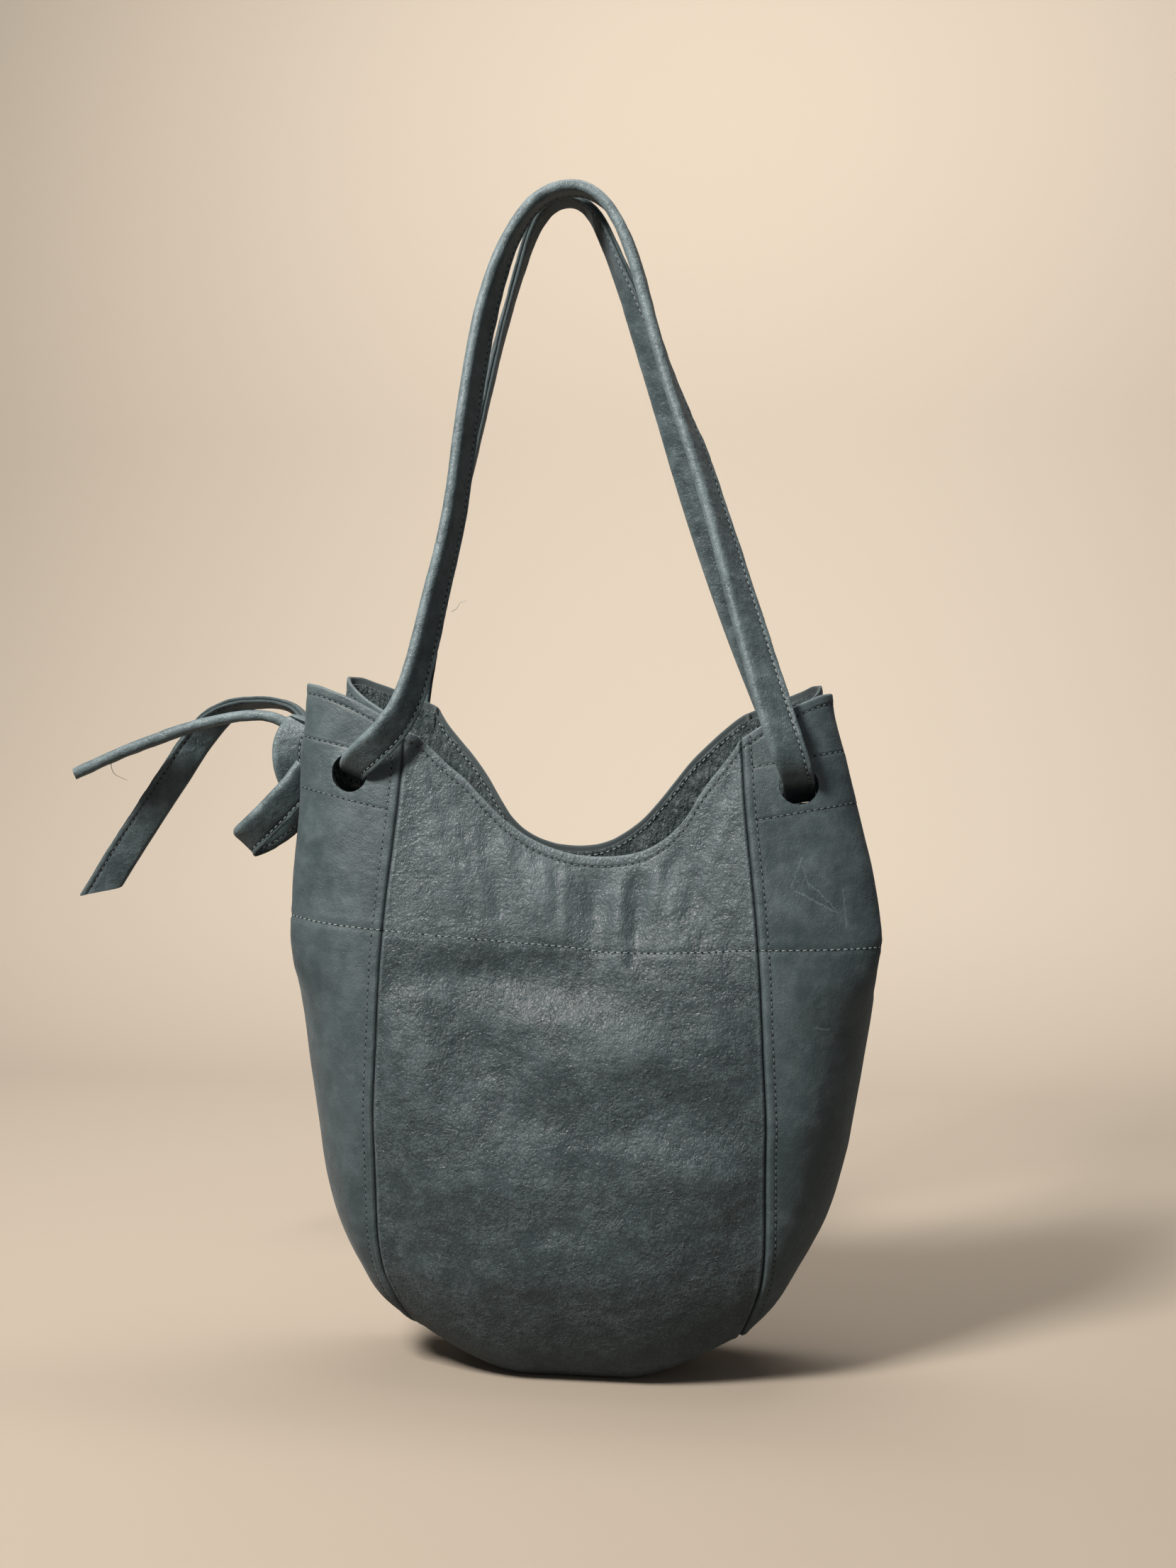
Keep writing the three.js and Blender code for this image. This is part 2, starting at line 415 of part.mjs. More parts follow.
// tied knot: a rounded lump with a slight waist where the strap wraps it
function knotBody() {
  const pos = [], idx = [], A = 16, B = 12, c = [-169.8, 0.8, 347.5];
  const r = (th, ph) => {
    const k = 1 + 0.05 * Math.cos(3 * ph + th);
    return [c[0] + 10.9 * k * Math.sin(ph) * Math.cos(th), c[1] + 12.4 * k * Math.sin(ph) * Math.sin(th), c[2] + 21.2 * Math.cos(ph)];
  };
  pos.push(...r(0, 0));
  for (let i = 1; i < B; i++) for (let j = 0; j < A; j++) pos.push(...r(2 * Math.PI * j / A, Math.PI * i / B));
  pos.push(...r(0, Math.PI));
  const last = pos.length / 3 - 1;
  for (let j = 0; j < A; j++) {
    const k = (j + 1) % A;
    idx.push(0, 1 + j, 1 + k);
    for (let i = 0; i < B - 2; i++) {
      const a = 1 + i * A + j, b = 1 + i * A + k;
      idx.push(a, a + A, b + A, a, b + A, b);
    }
    const e = 1 + (B - 2) * A;
    idx.push(last, e + k, e + j);
  }
  return outward({ pos, idx });
}

// ---------------------------------------------------------------- the bag
const bag = new THREE.Group();
function addMesh(name, m, color, roughness) {
  const g = new THREE.BufferGeometry();
  g.setAttribute('position', new THREE.Float32BufferAttribute(m.pos, 3));
  g.setIndex(m.idx);
  g.computeVertexNormals();
  const mesh = new THREE.Mesh(g, new THREE.MeshStandardMaterial({ color, roughness, metalness: 0 }));
  mesh.name = name;
  bag.add(mesh);
}
const LEATHER = 0x4c5a5e, LEATHER_SIDE = 0x576468, FLESH = 0x5d6a6b, STRAP = 0x586568;

// body panel: front, base and back in one piece
const wList = [...ROWS.map((v) => -(1 - v)), ...ROWS.slice(0, -1).reverse().map((v) => 1 - v)];
const [bp, bn] = bodyGrid(wList, COLS, SEAM_GAP);
addMesh('body_panel', mapPoints(outward(slab(bp, bn, 0, LEATHER_T)), sag), LEATHER, 0.5);

// gussets, each with its four aligned strap holes
const GROWS = ROWS.filter((v) => v < 0.995);
for (const [side, word] of [[-1, 'left'], [1, 'right']]) {
  const [gp, gn] = gussetGrid(side, GROWS, SCOLS, SEAM_GAP);
  addMesh(word + '_gusset', mapPoints(cutHoles(slab(gp, gn, 0, LEATHER_T), side), sag), LEATHER_SIDE, 0.5);
}

// reinforcement bands and facings inside the gussets
const d1 = LEATHER_T + LAYER_GAP, d2 = d1 + BAND_T, d3 = d2 + LAYER_GAP, d4 = d3 + FACING_T;
for (const [side, word] of [[-1, 'left'], [1, 'right']]) {
  const vz = (s, z) => vAt((v) => gussetPoint(side, s, v), z);
  const bandV = (s, t) => lerp(vz(s, BAND_HIGH_Z), vz(s, BAND_LOW_Z), t);
  const [hp, hn] = gussetGrid(side, [0, 0.33, 0.67, 1], SCOLS, 1.0, bandV);
  addMesh(word + '_hole_band', mapPoints(cutHoles(slab(hp, hn, d1, d2), side), sag), FLESH, 0.8);
  const faceV = (s, t) => lerp(0.008, vz(s, RING_Z), t);
  const [fp, fn] = gussetGrid(side, [0, 0.14, 0.28, 0.42, 0.54, 0.64, 0.73, 0.82, 0.91, 1], SCOLS, 1.0, faceV);
  addMesh(word + '_gusset_facing', mapPoints(cutHoles(slab(fp, fn, d3, d4), side), sag), LEATHER, 0.6);
}

// facings inside the front and back scoops
for (const [face, word] of [[-1, 'front'], [1, 'back']]) {
  const vz = (u) => vAt((v) => bodyPoint(u, face * (1 - v)), RING_Z - 3);
  const wOf = (u, t) => face * (1 - lerp(0.006, vz(u), t));
  const [fp, fn] = bodyGrid([0, 0.15, 0.3, 0.45, 0.6, 0.8, 1], COLS, 1.0, wOf);
  addMesh(word + '_facing', mapPoints(outward(slab(fp, fn, d1, d1 + FACING_T)), sag), LEATHER, 0.6);
}

// the strap, split where it bends in use
addMesh('front_handle_strap', strap(FRONT_HANDLE, stepsFor(FRONT_HANDLE, 18)), STRAP, 0.5);
addMesh('back_handle_strap', strap(BACK_HANDLE, stepsFor(BACK_HANDLE, 18)), STRAP, 0.5);
addMesh('strap_right_pass', strap(RIGHT_PASS, stepsFor(RIGHT_PASS, 15)), STRAP, 0.5);
addMesh('strap_left_front_run', strap(leftRun(-1), stepsFor(leftRun(-1), 5)), STRAP, 0.5);
addMesh('strap_left_back_run', strap(leftRun(1), stepsFor(leftRun(1), 5)), STRAP, 0.5);
addMesh('bow_knot', knotBody(), STRAP, 0.5);
addMesh('bow_loop', strap(BOW_LOOP, stepsFor(BOW_LOOP, 5)), STRAP, 0.5);
addMesh('upper_tail', strap(UPPER_TAIL, stepsFor(UPPER_TAIL, 14)), STRAP, 0.5);
addMesh('lower_tail', strap(LOWER_TAIL, stepsFor(LOWER_TAIL, 14)), STRAP, 0.5);

export default bag;
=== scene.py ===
import json
import math

import bpy
import bmesh
import numpy as np
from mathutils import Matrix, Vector


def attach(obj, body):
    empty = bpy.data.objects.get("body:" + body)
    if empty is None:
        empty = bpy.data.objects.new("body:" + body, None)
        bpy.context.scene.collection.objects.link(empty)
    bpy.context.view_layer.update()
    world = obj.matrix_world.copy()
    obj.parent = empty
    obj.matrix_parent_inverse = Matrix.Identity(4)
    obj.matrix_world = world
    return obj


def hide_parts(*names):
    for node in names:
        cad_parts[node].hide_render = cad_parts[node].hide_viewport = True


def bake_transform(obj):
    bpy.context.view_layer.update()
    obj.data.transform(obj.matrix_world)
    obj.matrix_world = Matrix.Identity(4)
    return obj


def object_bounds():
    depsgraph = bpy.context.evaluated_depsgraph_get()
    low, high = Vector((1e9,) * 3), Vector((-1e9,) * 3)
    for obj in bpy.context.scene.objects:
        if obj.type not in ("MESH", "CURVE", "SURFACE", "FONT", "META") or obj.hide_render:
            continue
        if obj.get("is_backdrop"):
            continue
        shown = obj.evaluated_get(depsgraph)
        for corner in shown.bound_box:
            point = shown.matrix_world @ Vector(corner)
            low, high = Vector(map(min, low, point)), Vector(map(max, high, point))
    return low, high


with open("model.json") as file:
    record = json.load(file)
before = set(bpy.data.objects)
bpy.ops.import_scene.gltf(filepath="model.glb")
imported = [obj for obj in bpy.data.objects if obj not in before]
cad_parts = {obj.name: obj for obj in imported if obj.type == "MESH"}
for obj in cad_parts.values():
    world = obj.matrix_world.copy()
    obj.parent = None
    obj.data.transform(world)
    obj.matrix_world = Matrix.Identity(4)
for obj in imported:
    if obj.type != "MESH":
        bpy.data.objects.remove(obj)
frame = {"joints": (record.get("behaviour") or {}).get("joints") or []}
cad_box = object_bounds()
MM = 0.001


# =============================================================== small maths
def lerp(a, b, t):
    return a + (b - a) * t


def smooth(a, b, x):
    t = np.clip((np.asarray(x, float) - a) / (b - a), 0, 1)
    return t * t * (3 - 2 * t)


def gauss(x, s):
    return np.exp(-(np.asarray(x, float) / s) ** 2)


def unit(v):
    return v / np.maximum(np.linalg.norm(v, axis=-1, keepdims=True), 1e-9)


class Pchip:
    """monotone cubic interpolation, of one or several columns"""

    def __init__(self, xs, ys):
        self.x = np.array(xs, float)
        y = np.array(ys, float)
        self.flat = y.ndim == 1
        self.y = y[:, None] if self.flat else y
        h = np.diff(self.x)
        d = np.diff(self.y, axis=0) / h[:, None]
        m = np.zeros_like(self.y)
        m[0], m[-1] = d[0], d[-1]
        for i in range(1, len(self.x) - 1):
            a, b = d[i - 1], d[i]
            ok = a * b > 0
            w1, w2 = 2 * h[i] + h[i - 1], h[i] + 2 * h[i - 1]
            m[i] = np.where(ok, (w1 + w2) / (w1 / np.where(ok, a, 1) + w2 / np.where(ok, b, 1)), 0)
        self.h, self.m = h, m

    def __call__(self, t):
        t = np.clip(np.asarray(t, float), self.x[0], self.x[-1])
        i = np.clip(np.searchsorted(self.x, t, side="right") - 1, 0, len(self.x) - 2)
        h = self.h[i][..., None]
        u = ((t - self.x[i]) / self.h[i])[..., None]
        u2, u3 = u * u, u * u * u
        r = ((2 * u3 - 3 * u2 + 1) * self.y[i] + (u3 - 2 * u2 + u) * h * self.m[i]
             + (-2 * u3 + 3 * u2) * self.y[i + 1] + (u3 - u2) * h * self.m[i + 1])
        return r[..., 0] if self.flat else r


def space_curve(pts):
    p = np.array(pts, float)
    t = np.concatenate([[0], np.cumsum(np.linalg.norm(np.diff(p, axis=0), axis=1))])
    return Pchip(t / t[-1], p)


_tables = {}


def vnoise(x, y, seed=0):
    """smooth value noise, -1 to 1, over a unit lattice"""
    if seed not in _tables:
        _tables[seed] = np.random.default_rng(1000 + seed).uniform(-1, 1, (256, 256))
    T = _tables[seed]
    x, y = np.asarray(x, float) + 100.3, np.asarray(y, float) + 77.7
    xi, yi = np.floor(x).astype(int), np.floor(y).astype(int)
    fx, fy = x - xi, y - yi
    fx, fy = fx * fx * fx * (fx * (fx * 6 - 15) + 10), fy * fy * fy * (fy * (fy * 6 - 15) + 10)
    g = lambda a, b: T[a % 256, b % 256]
    return lerp(lerp(g(xi, yi), g(xi + 1, yi), fx), lerp(g(xi, yi + 1), g(xi + 1, yi + 1), fx), fy)


def fbm(x, y, seed=0, octaves=3):
    r, a, s = 0, 1, 1
    for k in range(octaves):
        r = r + a * vnoise(x * s, y * s, seed + 31 * k)
        a, s = a * 0.5, s * 2.03
    return r


# =============================================================== the bag's surfaces (mm), as in the CAD
SEAM = space_curve([
    [92.0, 41, 351], [94.1, 45, 319.3], [97.1, 48, 288.8], [100.5, 52, 255.8],
    [103.1, 55, 219.2], [104.6, 56, 183.4], [106.1, 56, 143.8], [105.6, 54, 117.8],
    [105.5, 52, 100.3], [105.2, 50, 80.9], [103.2, 45, 60.5], [99.9, 40, 48.5],
    [94.5, 30, 33.7], [90, 16, 23], [88, 0, 19]])
MID_FRONT = space_curve([
    [38, 283], [43, 258], [50, 228], [57, 193], [62, 158], [65, 126], [66, 98],
    [63.5, 68], [57, 43], [48, 24], [38, 10], [30, 3.2], [24, 0], [12, 0], [0, 0]])
MID_BACK = space_curve([
    [38, 289], [43, 262], [50, 230], [57, 193], [62, 158], [65, 126], [66, 98],
    [63.5, 68], [57, 43], [48, 24], [38, 10], [30, 3.2], [24, 0], [12, 0], [0, 0]])
WIDE = Pchip([19, 22, 28, 38, 50.8, 70.6, 90, 108, 135, 176.5, 214, 238, 253, 287, 319, 352, 392],
             [88, 94, 101, 111, 120.6, 132.6, 141, 146, 150.6, 158, 164.5, 167.5, 166.5, 162, 157, 152, 149])
GUSSET_TOP = Pchip([-1, -0.875, -0.75, -0.625, -0.5, -0.4, -0.25, 0, 0.25, 0.4, 0.5, 0.625, 0.75, 0.875, 1],
                   [351, 363, 371.5, 376, 377, 371, 362, 355, 368, 379, 384, 384, 380.5, 375, 368])
# the top of a gusset leans in, more at the right side and at the back
LEAN = Pchip([240, 280, 300, 318, 343, 371, 392], [0, 0.08, 0.25, 0.4, 0.62, 1, 1.15])
LEAN_BY = {(-1, -1): 1.5, (-1, 1): -6.5, (1, -1): -9.3, (1, 1): -14}
SIDE_ADD = {
    -1: Pchip([19, 30, 42, 60, 105, 152, 176, 200, 215, 230, 248, 272, 295, 319, 343, 392],
              [0, 1.5, 2.5, 0, -0.4, -1.5, -1.8, -2.6, -5, -6.8, -6.9, -4.7, -3.5, -2, 0, 0]),
    1: Pchip([19, 30, 42, 64, 87, 110, 133, 204, 230, 251, 392], [0, -2, -2.6, -4.2, -2.8, -1.7, 0, -0.6, -2.3, 0, 0])}
# how the scoop's depth fades from the middle to the left (-1) and right (1) seam
SCOOP_FRONT = Pchip(
    [-1, -0.94, -0.84, -0.74, -0.64, -0.545, -0.446, -0.347, -0.25, -0.15, -0.05, 0.05, 0.16, 0.25, 0.326, 0.422,
     0.518, 0.614, 0.68, 0.715, 0.755, 0.804, 0.9, 0.96, 1],
    [0, 0.025, 0.136, 0.264, 0.371, 0.504, 0.637, 0.745, 0.83, 0.89, 0.932, 0.957, 0.965, 0.957, 0.943, 0.908,
     0.84, 0.735, 0.63, 0.555, 0.46, 0.362, 0.195, 0.085, 0])
SCOOP_BACK = Pchip(
    [-1, -0.93, -0.84, -0.758, -0.664, -0.567, -0.503, -0.398, -0.292, -0.187, -0.082, 0.021, 0.126, 0.225, 0.33,
     0.433, 0.536, 0.639, 0.742, 0.845, 0.948, 1],
    [0, 0.13, 0.255, 0.365, 0.515, 0.705, 0.815, 0.919, 0.975, 1.003, 1.01, 1.0, 0.965, 0.9, 0.805,
     0.672, 0.52, 0.368, 0.245, 0.133, 0.036, 0])
TOP_BACK = 368
HOLE_X, HOLE_Z, HOLE_R = 122.8, 328.2, 10.5


def drop(v):
    return (351 - SEAM(v)[..., 2]) / (351 - 19)


def body_point(u, w):
    u, w = np.broadcast_arrays(np.asarray(u, float), np.asarray(w, float))
    v, front = 1 - np.abs(w), w <= 0
    s = SEAM(v)
    sz = np.where(front, s[..., 2], TOP_BACK - (TOP_BACK - 19) * drop(v))
    m = np.where(front[..., None], MID_FRONT(v), MID_BACK(v))
    a = np.abs(u)
    flat = 1 - (np.maximum(a - 0.3, 0) / 0.7) ** 1.6
    gz = lerp(np.where(front, SCOOP_FRONT(u), SCOOP_BACK(u)), flat, smooth(0, 0.35, v))
    gy = lerp(1 - a ** 2.2, flat, smooth(0.75, 0.95, v))
    face = np.where(front, -1, 1)
    return np.stack([u * s[..., 0], face * lerp(s[..., 1], m[..., 0], gy), lerp(sz, m[..., 1], gz)], -1)


def bez(p0, p1, p2, p3, t):
    q = 1 - t
    return q ** 3 * p0 + 3 * q * q * t * p1 + 3 * q * t * t * p2 + t ** 3 * p3


def gusset_point(side, s, v):
    s, v = np.broadcast_arrays(np.asarray(s, float), np.asarray(v, float))
    face, a = np.where(s <= 0, -1, 1), 1 - np.abs(s)
    top = GUSSET_TOP(s)
    z = top - (top - 19) * drop(v)
    e = SEAM(v)
    sx, sy = e[..., 0], e[..., 1]
    w = WIDE(z) + SIDE_ADD[side](z) + LEAN(z) * np.where(s <= 0, LEAN_BY[side, -1], LEAN_BY[side, 1])
    ph = a * math.pi / 2
    k = smooth(190, 300, z)
    w = w + (w - sx) * FOLD_FILL(k)
    ox, oy = sx + (w - sx) * np.sin(ph), sy * np.cos(ph)
    t1, t2 = np.clip(a * 2, 0, 1), np.clip(a * 2 - 1, 0, 1)
    qx = np.where(a < 0.5, bez(sx, sx + 24, w, w, t1), bez(w, w, 104, 104, t2))
    qy = np.where(a < 0.5, bez(sy, sy, 37, 25, t1), bez(25, 11, 8, 0, t2))
    return np.stack([side * lerp(ox, qx, k), face * lerp(oy, qy, k), z], -1)


# while the fold fades out, the widest point is part of the way round: make up for it
FOLD_FILL = Pchip([0, 0.05, 0.1, 0.2, 0.25, 0.3, 0.4, 0.5, 0.6, 0.7, 0.8, 0.9, 1],
                  [0, 0.05, 0.105, 0.182, 0.194, 0.194, 0.179, 0.153, 0.123, 0.092, 0.061, 0.03, 0])


def sag(p):
    q = np.array(p, float)
    q[..., 2] = p[..., 2] - 0.027 * p[..., 0] * smooth(80, 330, p[..., 2])
    return q


def fd_normal(f, a, b, la, lb, e=0.004):
    da = f(np.minimum(a + e, la[1]), b) - f(np.maximum(a - e, la[0]), b)
    db = f(a, np.minimum(b + e, lb[1])) - f(a, np.maximum(b - e, lb[0]))
    return unit(np.cross(da, db))


def body_normal(u, w):
    return -fd_normal(body_point, u, w, (-1, 1), (-1, 1))


def gusset_normal(side, s, v):
    n = fd_normal(lambda a, b: gusset_point(side, a, b), s, v, (-1, 1), (0, 1))
    return -n if side > 0 else n


def seam_normal(side, face, v):
    v = np.asarray(v, float)
    a = body_normal(np.full(v.shape, float(side)), face * (1 - v))
    b = gusset_normal(side, np.full(v.shape, float(face)), np.minimum(v, 0.98))
    return unit(a + b)


# heights of the stitch line that runs round the bag, by X (sagged frame)
RING = Pchip([-168, -160, -139, -103, -41, 7, 24, 48, 72, 96, 144, 168],
             [253, 252.4, 249.5, 246.1, 240.8, 237.1, 235.1, 235, 236.1, 237.5, 238, 238.4])


# =============================================================== materials
def new_mat(name):
    m = bpy.data.materials.new(name)
    m.use_nodes = True
    nt = m.node_tree
    nt.nodes.clear()
    out = nt.nodes.new("ShaderNodeOutputMaterial")
    bsdf = nt.nodes.new("ShaderNodeBsdfPrincipled")
    nt.links.new(bsdf.outputs[0], out.inputs[0])
    return m, nt, bsdf


class N:
    """short hand for node wiring"""

    def __init__(self, nt):
        self.nt = nt

    def node(self, kind, **kw):
        n = self.nt.nodes.new(kind)
        for k, v in kw.items():
            setattr(n, k, v)
        return n

    def put(self, sock, val):
        if isinstance(val, bpy.types.NodeSocket):
            self.nt.links.new(val, sock)
        elif val is not None:
            if sock.type == "RGBA" and len(val) == 3:
                val = (*val, 1)
            sock.default_value = val

    def math(self, op, a, b=None, c=None, clamp=False):
        n = self.node("ShaderNodeMath", operation=op, use_clamp=clamp)
        self.put(n.inputs[0], a)
        if b is not None:
            self.put(n.inputs[1], b)
        if c is not None:
            self.put(n.inputs[2], c)
        return n.outputs[0]

    def mul(self, a, b):
        return self.math("MULTIPLY", a, b)

    def add(self, a, b):
        return self.math("ADD", a, b)

    def sub(self, a, b):
        return self.math("SUBTRACT", a, b)

    def rng(self, x, a, b, c=0.0, d=1.0, kind="SMOOTHSTEP"):
        n = self.node("ShaderNodeMapRange", interpolation_type=kind)
        self.put(n.inputs["Value"], x)
        for k, v in (("From Min", a), ("From Max", b), ("To Min", c), ("To Max", d)):
            self.put(n.inputs[k], v)
        return n.outputs["Result"]

    def mix(self, f, a, b, blend="MIX"):
        n = self.node("ShaderNodeMix", data_type="RGBA", blend_type=blend)
        self.put(n.inputs[0], f)
        self.put(n.inputs[6], a)
        self.put(n.inputs[7], b)
        return n.outputs[2]

    def coords(self):
        t = self.node("ShaderNodeTexCoord")
        m = self.node("ShaderNodeVectorMath", operation="SCALE")
        self.put(m.inputs[0], t.outputs["Object"])
        m.inputs["Scale"].default_value = 1000
        return m.outputs[0]

    def vscale(self, v, s):
        m = self.node("ShaderNodeVectorMath", operation="MULTIPLY")
        self.put(m.inputs[0], v)
        m.inputs[1].default_value = s if isinstance(s, tuple) else (s, s, s)
        return m.outputs[0]

    def vadd(self, a, b):
        m = self.node("ShaderNodeVectorMath", operation="ADD")
        self.put(m.inputs[0], a)
        self.put(m.inputs[1], b)
        return m.outputs[0]

    def noise(self, v, scale, detail=3.0, rough=0.55, dist=0.0):
        n = self.node("ShaderNodeTexNoise")
        self.put(n.inputs["Vector"], v)
        n.inputs["Scale"].default_value = scale
        n.inputs["Detail"].default_value = detail
        n.inputs["Roughness"].default_value = rough
        n.inputs["Distortion"].default_value = dist
        return n.outputs["Fac"], n.outputs["Color"]

    def vor(self, v, scale, feature="DISTANCE_TO_EDGE", rand=1.0):
        n = self.node("ShaderNodeTexVoronoi", feature=feature)
        self.put(n.inputs["Vector"], v)
        n.inputs["Scale"].default_value = scale
        n.inputs["Randomness"].default_value = rand
        return n.outputs["Distance"]

    def attr(self, name):
        n = self.node("ShaderNodeAttribute", attribute_type="GEOMETRY", attribute_name=name)
        return n.outputs["Fac"]


def leather(name, dark, mid, light, grain=1.5, grain_h=0.5, crease=0.5, rough=0.5, crinkle=0.0, seed=0.0, vein=0.5,
            crease_size=7.0, sheen=0.12, cloudy=1.0, undulate=1.0, spec=0.5, blotch=0.3, scratches=()):
    """pebbled pull-up leather: cells of grain, fine wrinkles, lighter where it is rubbed or bent; painted light and
    shade laid on from vertex attributes, and painted shade along the stitch grooves
    """
    m, nt, b = new_mat(name)
    n = N(nt)
    raw = n.coords()
    co = n.vadd(raw, (seed * 37.0, seed * 11.0, seed * 5.0)) if seed else raw
    warp_f, warp_c = n.noise(co, 0.3, 2.0)
    wco = n.vadd(co, n.vscale(n.vadd(warp_c, (-0.5, -0.5, -0.5)), 2.2))
    cloud, _ = n.noise(co, 0.018, 4.0, 0.62, 0.8)
    mott, _ = n.noise(co, 0.085, 5.0, 0.62)
    fine, _ = n.noise(co, 1.1, 4.0, 0.62)
    micro, _ = n.noise(co, 5.0, 2.0, 0.6)
    cells = n.vor(n.vscale(wco, (1.0, 1.0, 0.72)), 1.0 / grain)
    cells2 = n.vor(n.vadd(wco, (13.0, 7.0, 3.0)), 1.0 / (grain * 0.5))
    pebble = n.rng(cells, 0.0, 0.34)
    pebble2 = n.rng(cells2, 0.0, 0.3)
    # wrinkles: valleys where a stretched noise crosses its middle, in three sizes, in patches
    def valley(vec, scale, width, dist=0.0):
        f, _ = n.noise(vec, scale, 2.0, 0.45, dist)
        return n.rng(n.math("ABSOLUTE", n.sub(f, 0.5)), 0.0, width, 1.0, 0.0)
    v1 = valley(n.vscale(wco, (1.0, 1.0, 0.5)), 0.8 / crease_size, 0.09, 0.5)
    v2 = valley(n.vadd(n.vscale(wco, (0.62, 0.62, 1.0)), (31.0, 17.0, 9.0)), 1.5 / crease_size, 0.14, 0.4)
    v3 = valley(n.vadd(n.vscale(wco, (1.0, 1.0, 0.6)), (3.0, 41.0, 19.0)), 2.6 / crease_size, 0.20, 0.3)
    hair = n.math("MAXIMUM", valley(n.vadd(n.vscale(wco, (1.0, 1.0, 0.7)), (53.0, 7.0, 3.0)), 2.4 / crease_size, 0.055, 0.6),
                  valley(n.vadd(n.vscale(wco, (0.7, 0.7, 1.0)), (5.0, 67.0, 23.0)), 3.4 / crease_size, 0.06, 0.6))
    patch, _ = n.noise(co, 0.04, 3.0, 0.6)
    patchy = n.add(n.mul(n.rng(patch, 0.38, 0.62), 0.7), 0.3)
    lines = n.math("MAXIMUM", n.math("MAXIMUM", v1, hair), n.math("MAXIMUM", v2, n.mul(v3, 0.7)))
    sd = n.attr("stitch_d")
    groove = n.math("POWER", 2.718, n.mul(n.mul(sd, sd), -2.2))
    wear = n.attr("wear")
    tint = n.attr("tint")
    black = tuple(c * 0.35 for c in dark)
    # colour
    base = n.mix(n.rng(n.add(n.mul(cloud, 0.65), n.mul(mott, 0.35)), 0.36, 0.64), tuple(lerp(m_, d_, cloudy) for d_, m_ in zip(dark, mid)), mid)
    base = n.mix(n.mul(n.rng(mott, 0.46, 0.78), blotch), base, light)
    base = n.mix(n.mul(n.sub(1.0, pebble), 0.5 * min(1.0, grain_h)), base, black)
    base = n.mix(n.mul(n.mul(n.rng(fine, 0.5, 0.72), n.rng(patch, 0.35, 0.65)), vein), base, light)
    base = n.mix(n.mul(n.mul(n.sub(lines, hair), patchy), 0.3 * min(1.0, crease)), base, black)
    base = n.mix(n.mul(n.mul(hair, n.rng(mott, 0.38, 0.6)), 0.24 * min(1.0, crease)), base, light)
    # painted light and shade: a vertex attribute lightens the colour where light falls and darkens it where shade falls
    tone = n.attr("tone")
    base = n.mix(n.math("MULTIPLY", tone, 1.0, clamp=True), base, light)
    base = n.mix(n.math("MULTIPLY", tone, -1.0, clamp=True), base, dark)
    base = n.mix(n.math("MULTIPLY", wear, n.rng(n.add(fine, mott), 0.55, 1.25), clamp=True), base, light)
    # painted shade: darker along the stitch grooves
    base = n.mix(n.mul(groove, 0.3), base, black)
    # painted shade: mixed towards near black in the seam creases and on the packed knot core
    base = n.mix(n.math("MAXIMUM", tint, 0.0), base, black)
    base = n.mix(n.mul(n.rng(micro, 0.35, 0.75), 0.10), base, light)
    if scratches:
        sep = n.node("ShaderNodeSeparateXYZ")
        n.put(sep.inputs[0], n.vadd(raw, n.vscale(n.vadd(warp_c, (-0.5, -0.5, -0.5)), 2.5)))
        X, Z = sep.outputs[0], sep.outputs[2]
        for (x0, z0, x1, z1, width, amount) in scratches:
            ex, ez = x1 - x0, z1 - z0
            t = n.math("MULTIPLY", n.add(n.mul(n.sub(X, x0), ex), n.mul(n.sub(Z, z0), ez)), 1 / (ex * ex + ez * ez), clamp=True)
            dx, dz = n.sub(n.sub(X, x0), n.mul(t, ex)), n.sub(n.sub(Z, z0), n.mul(t, ez))
            d2 = n.math("SQRT", n.add(n.mul(dx, dx), n.mul(dz, dz)))
            base = n.mix(n.mul(n.rng(d2, 0.0, width, 1.0, 0.0), n.mul(n.rng(fine, 0.25, 0.6), amount)), base, light)
    n.put(b.inputs["Base Color"], base)
    r = n.add(n.mul(n.rng(mott, 0.3, 0.7), 0.12), rough - 0.06)
    r = n.add(r, n.mul(n.sub(1.0, pebble), 0.12))
    r = n.add(r, n.mul(wear, 0.08))
    n.put(b.inputs["Roughness"], n.math("MINIMUM", r, 0.95))
    b.inputs["Specular IOR Level"].default_value = spec
    b.inputs["Sheen Weight"].default_value = sheen
    b.inputs["Sheen Roughness"].default_value = 0.45
    # height, in millimetres
    h = n.mul(pebble, 0.11 * grain_h)
    h = n.add(h, n.mul(pebble2, 0.045 * grain_h))
    h = n.add(h, n.mul(n.mul(lines, patchy), -0.40 * crease))
    h = n.add(h, n.mul(fine, 0.11 * max(grain_h, 0.5)))
    h = n.add(h, n.mul(micro, 0.015))
    h = n.add(h, n.mul(mott, 1.7 * undulate))
    if crinkle:
        cr = n.vor(n.vscale(wco, (1.0, 1.0, 0.4)), 0.28)
        cr2, _ = n.noise(n.vscale(wco, (1.0, 1.0, 0.3)), 0.5, 3.0, 0.65, 0.8)
        h = n.add(h, n.mul(n.rng(cr, 0.0, 0.35), 0.45 * crinkle))
        h = n.add(h, n.mul(cr2, 1.3 * crinkle))
    h = n.add(h, n.mul(groove, -0.12))
    bump = n.node("ShaderNodeBump")
    bump.inputs["Strength"].default_value = 1.0
    bump.inputs["Distance"].default_value = MM
    n.put(bump.inputs["Height"], h)
    n.put(b.inputs["Normal"], bump.outputs[0])
    return m


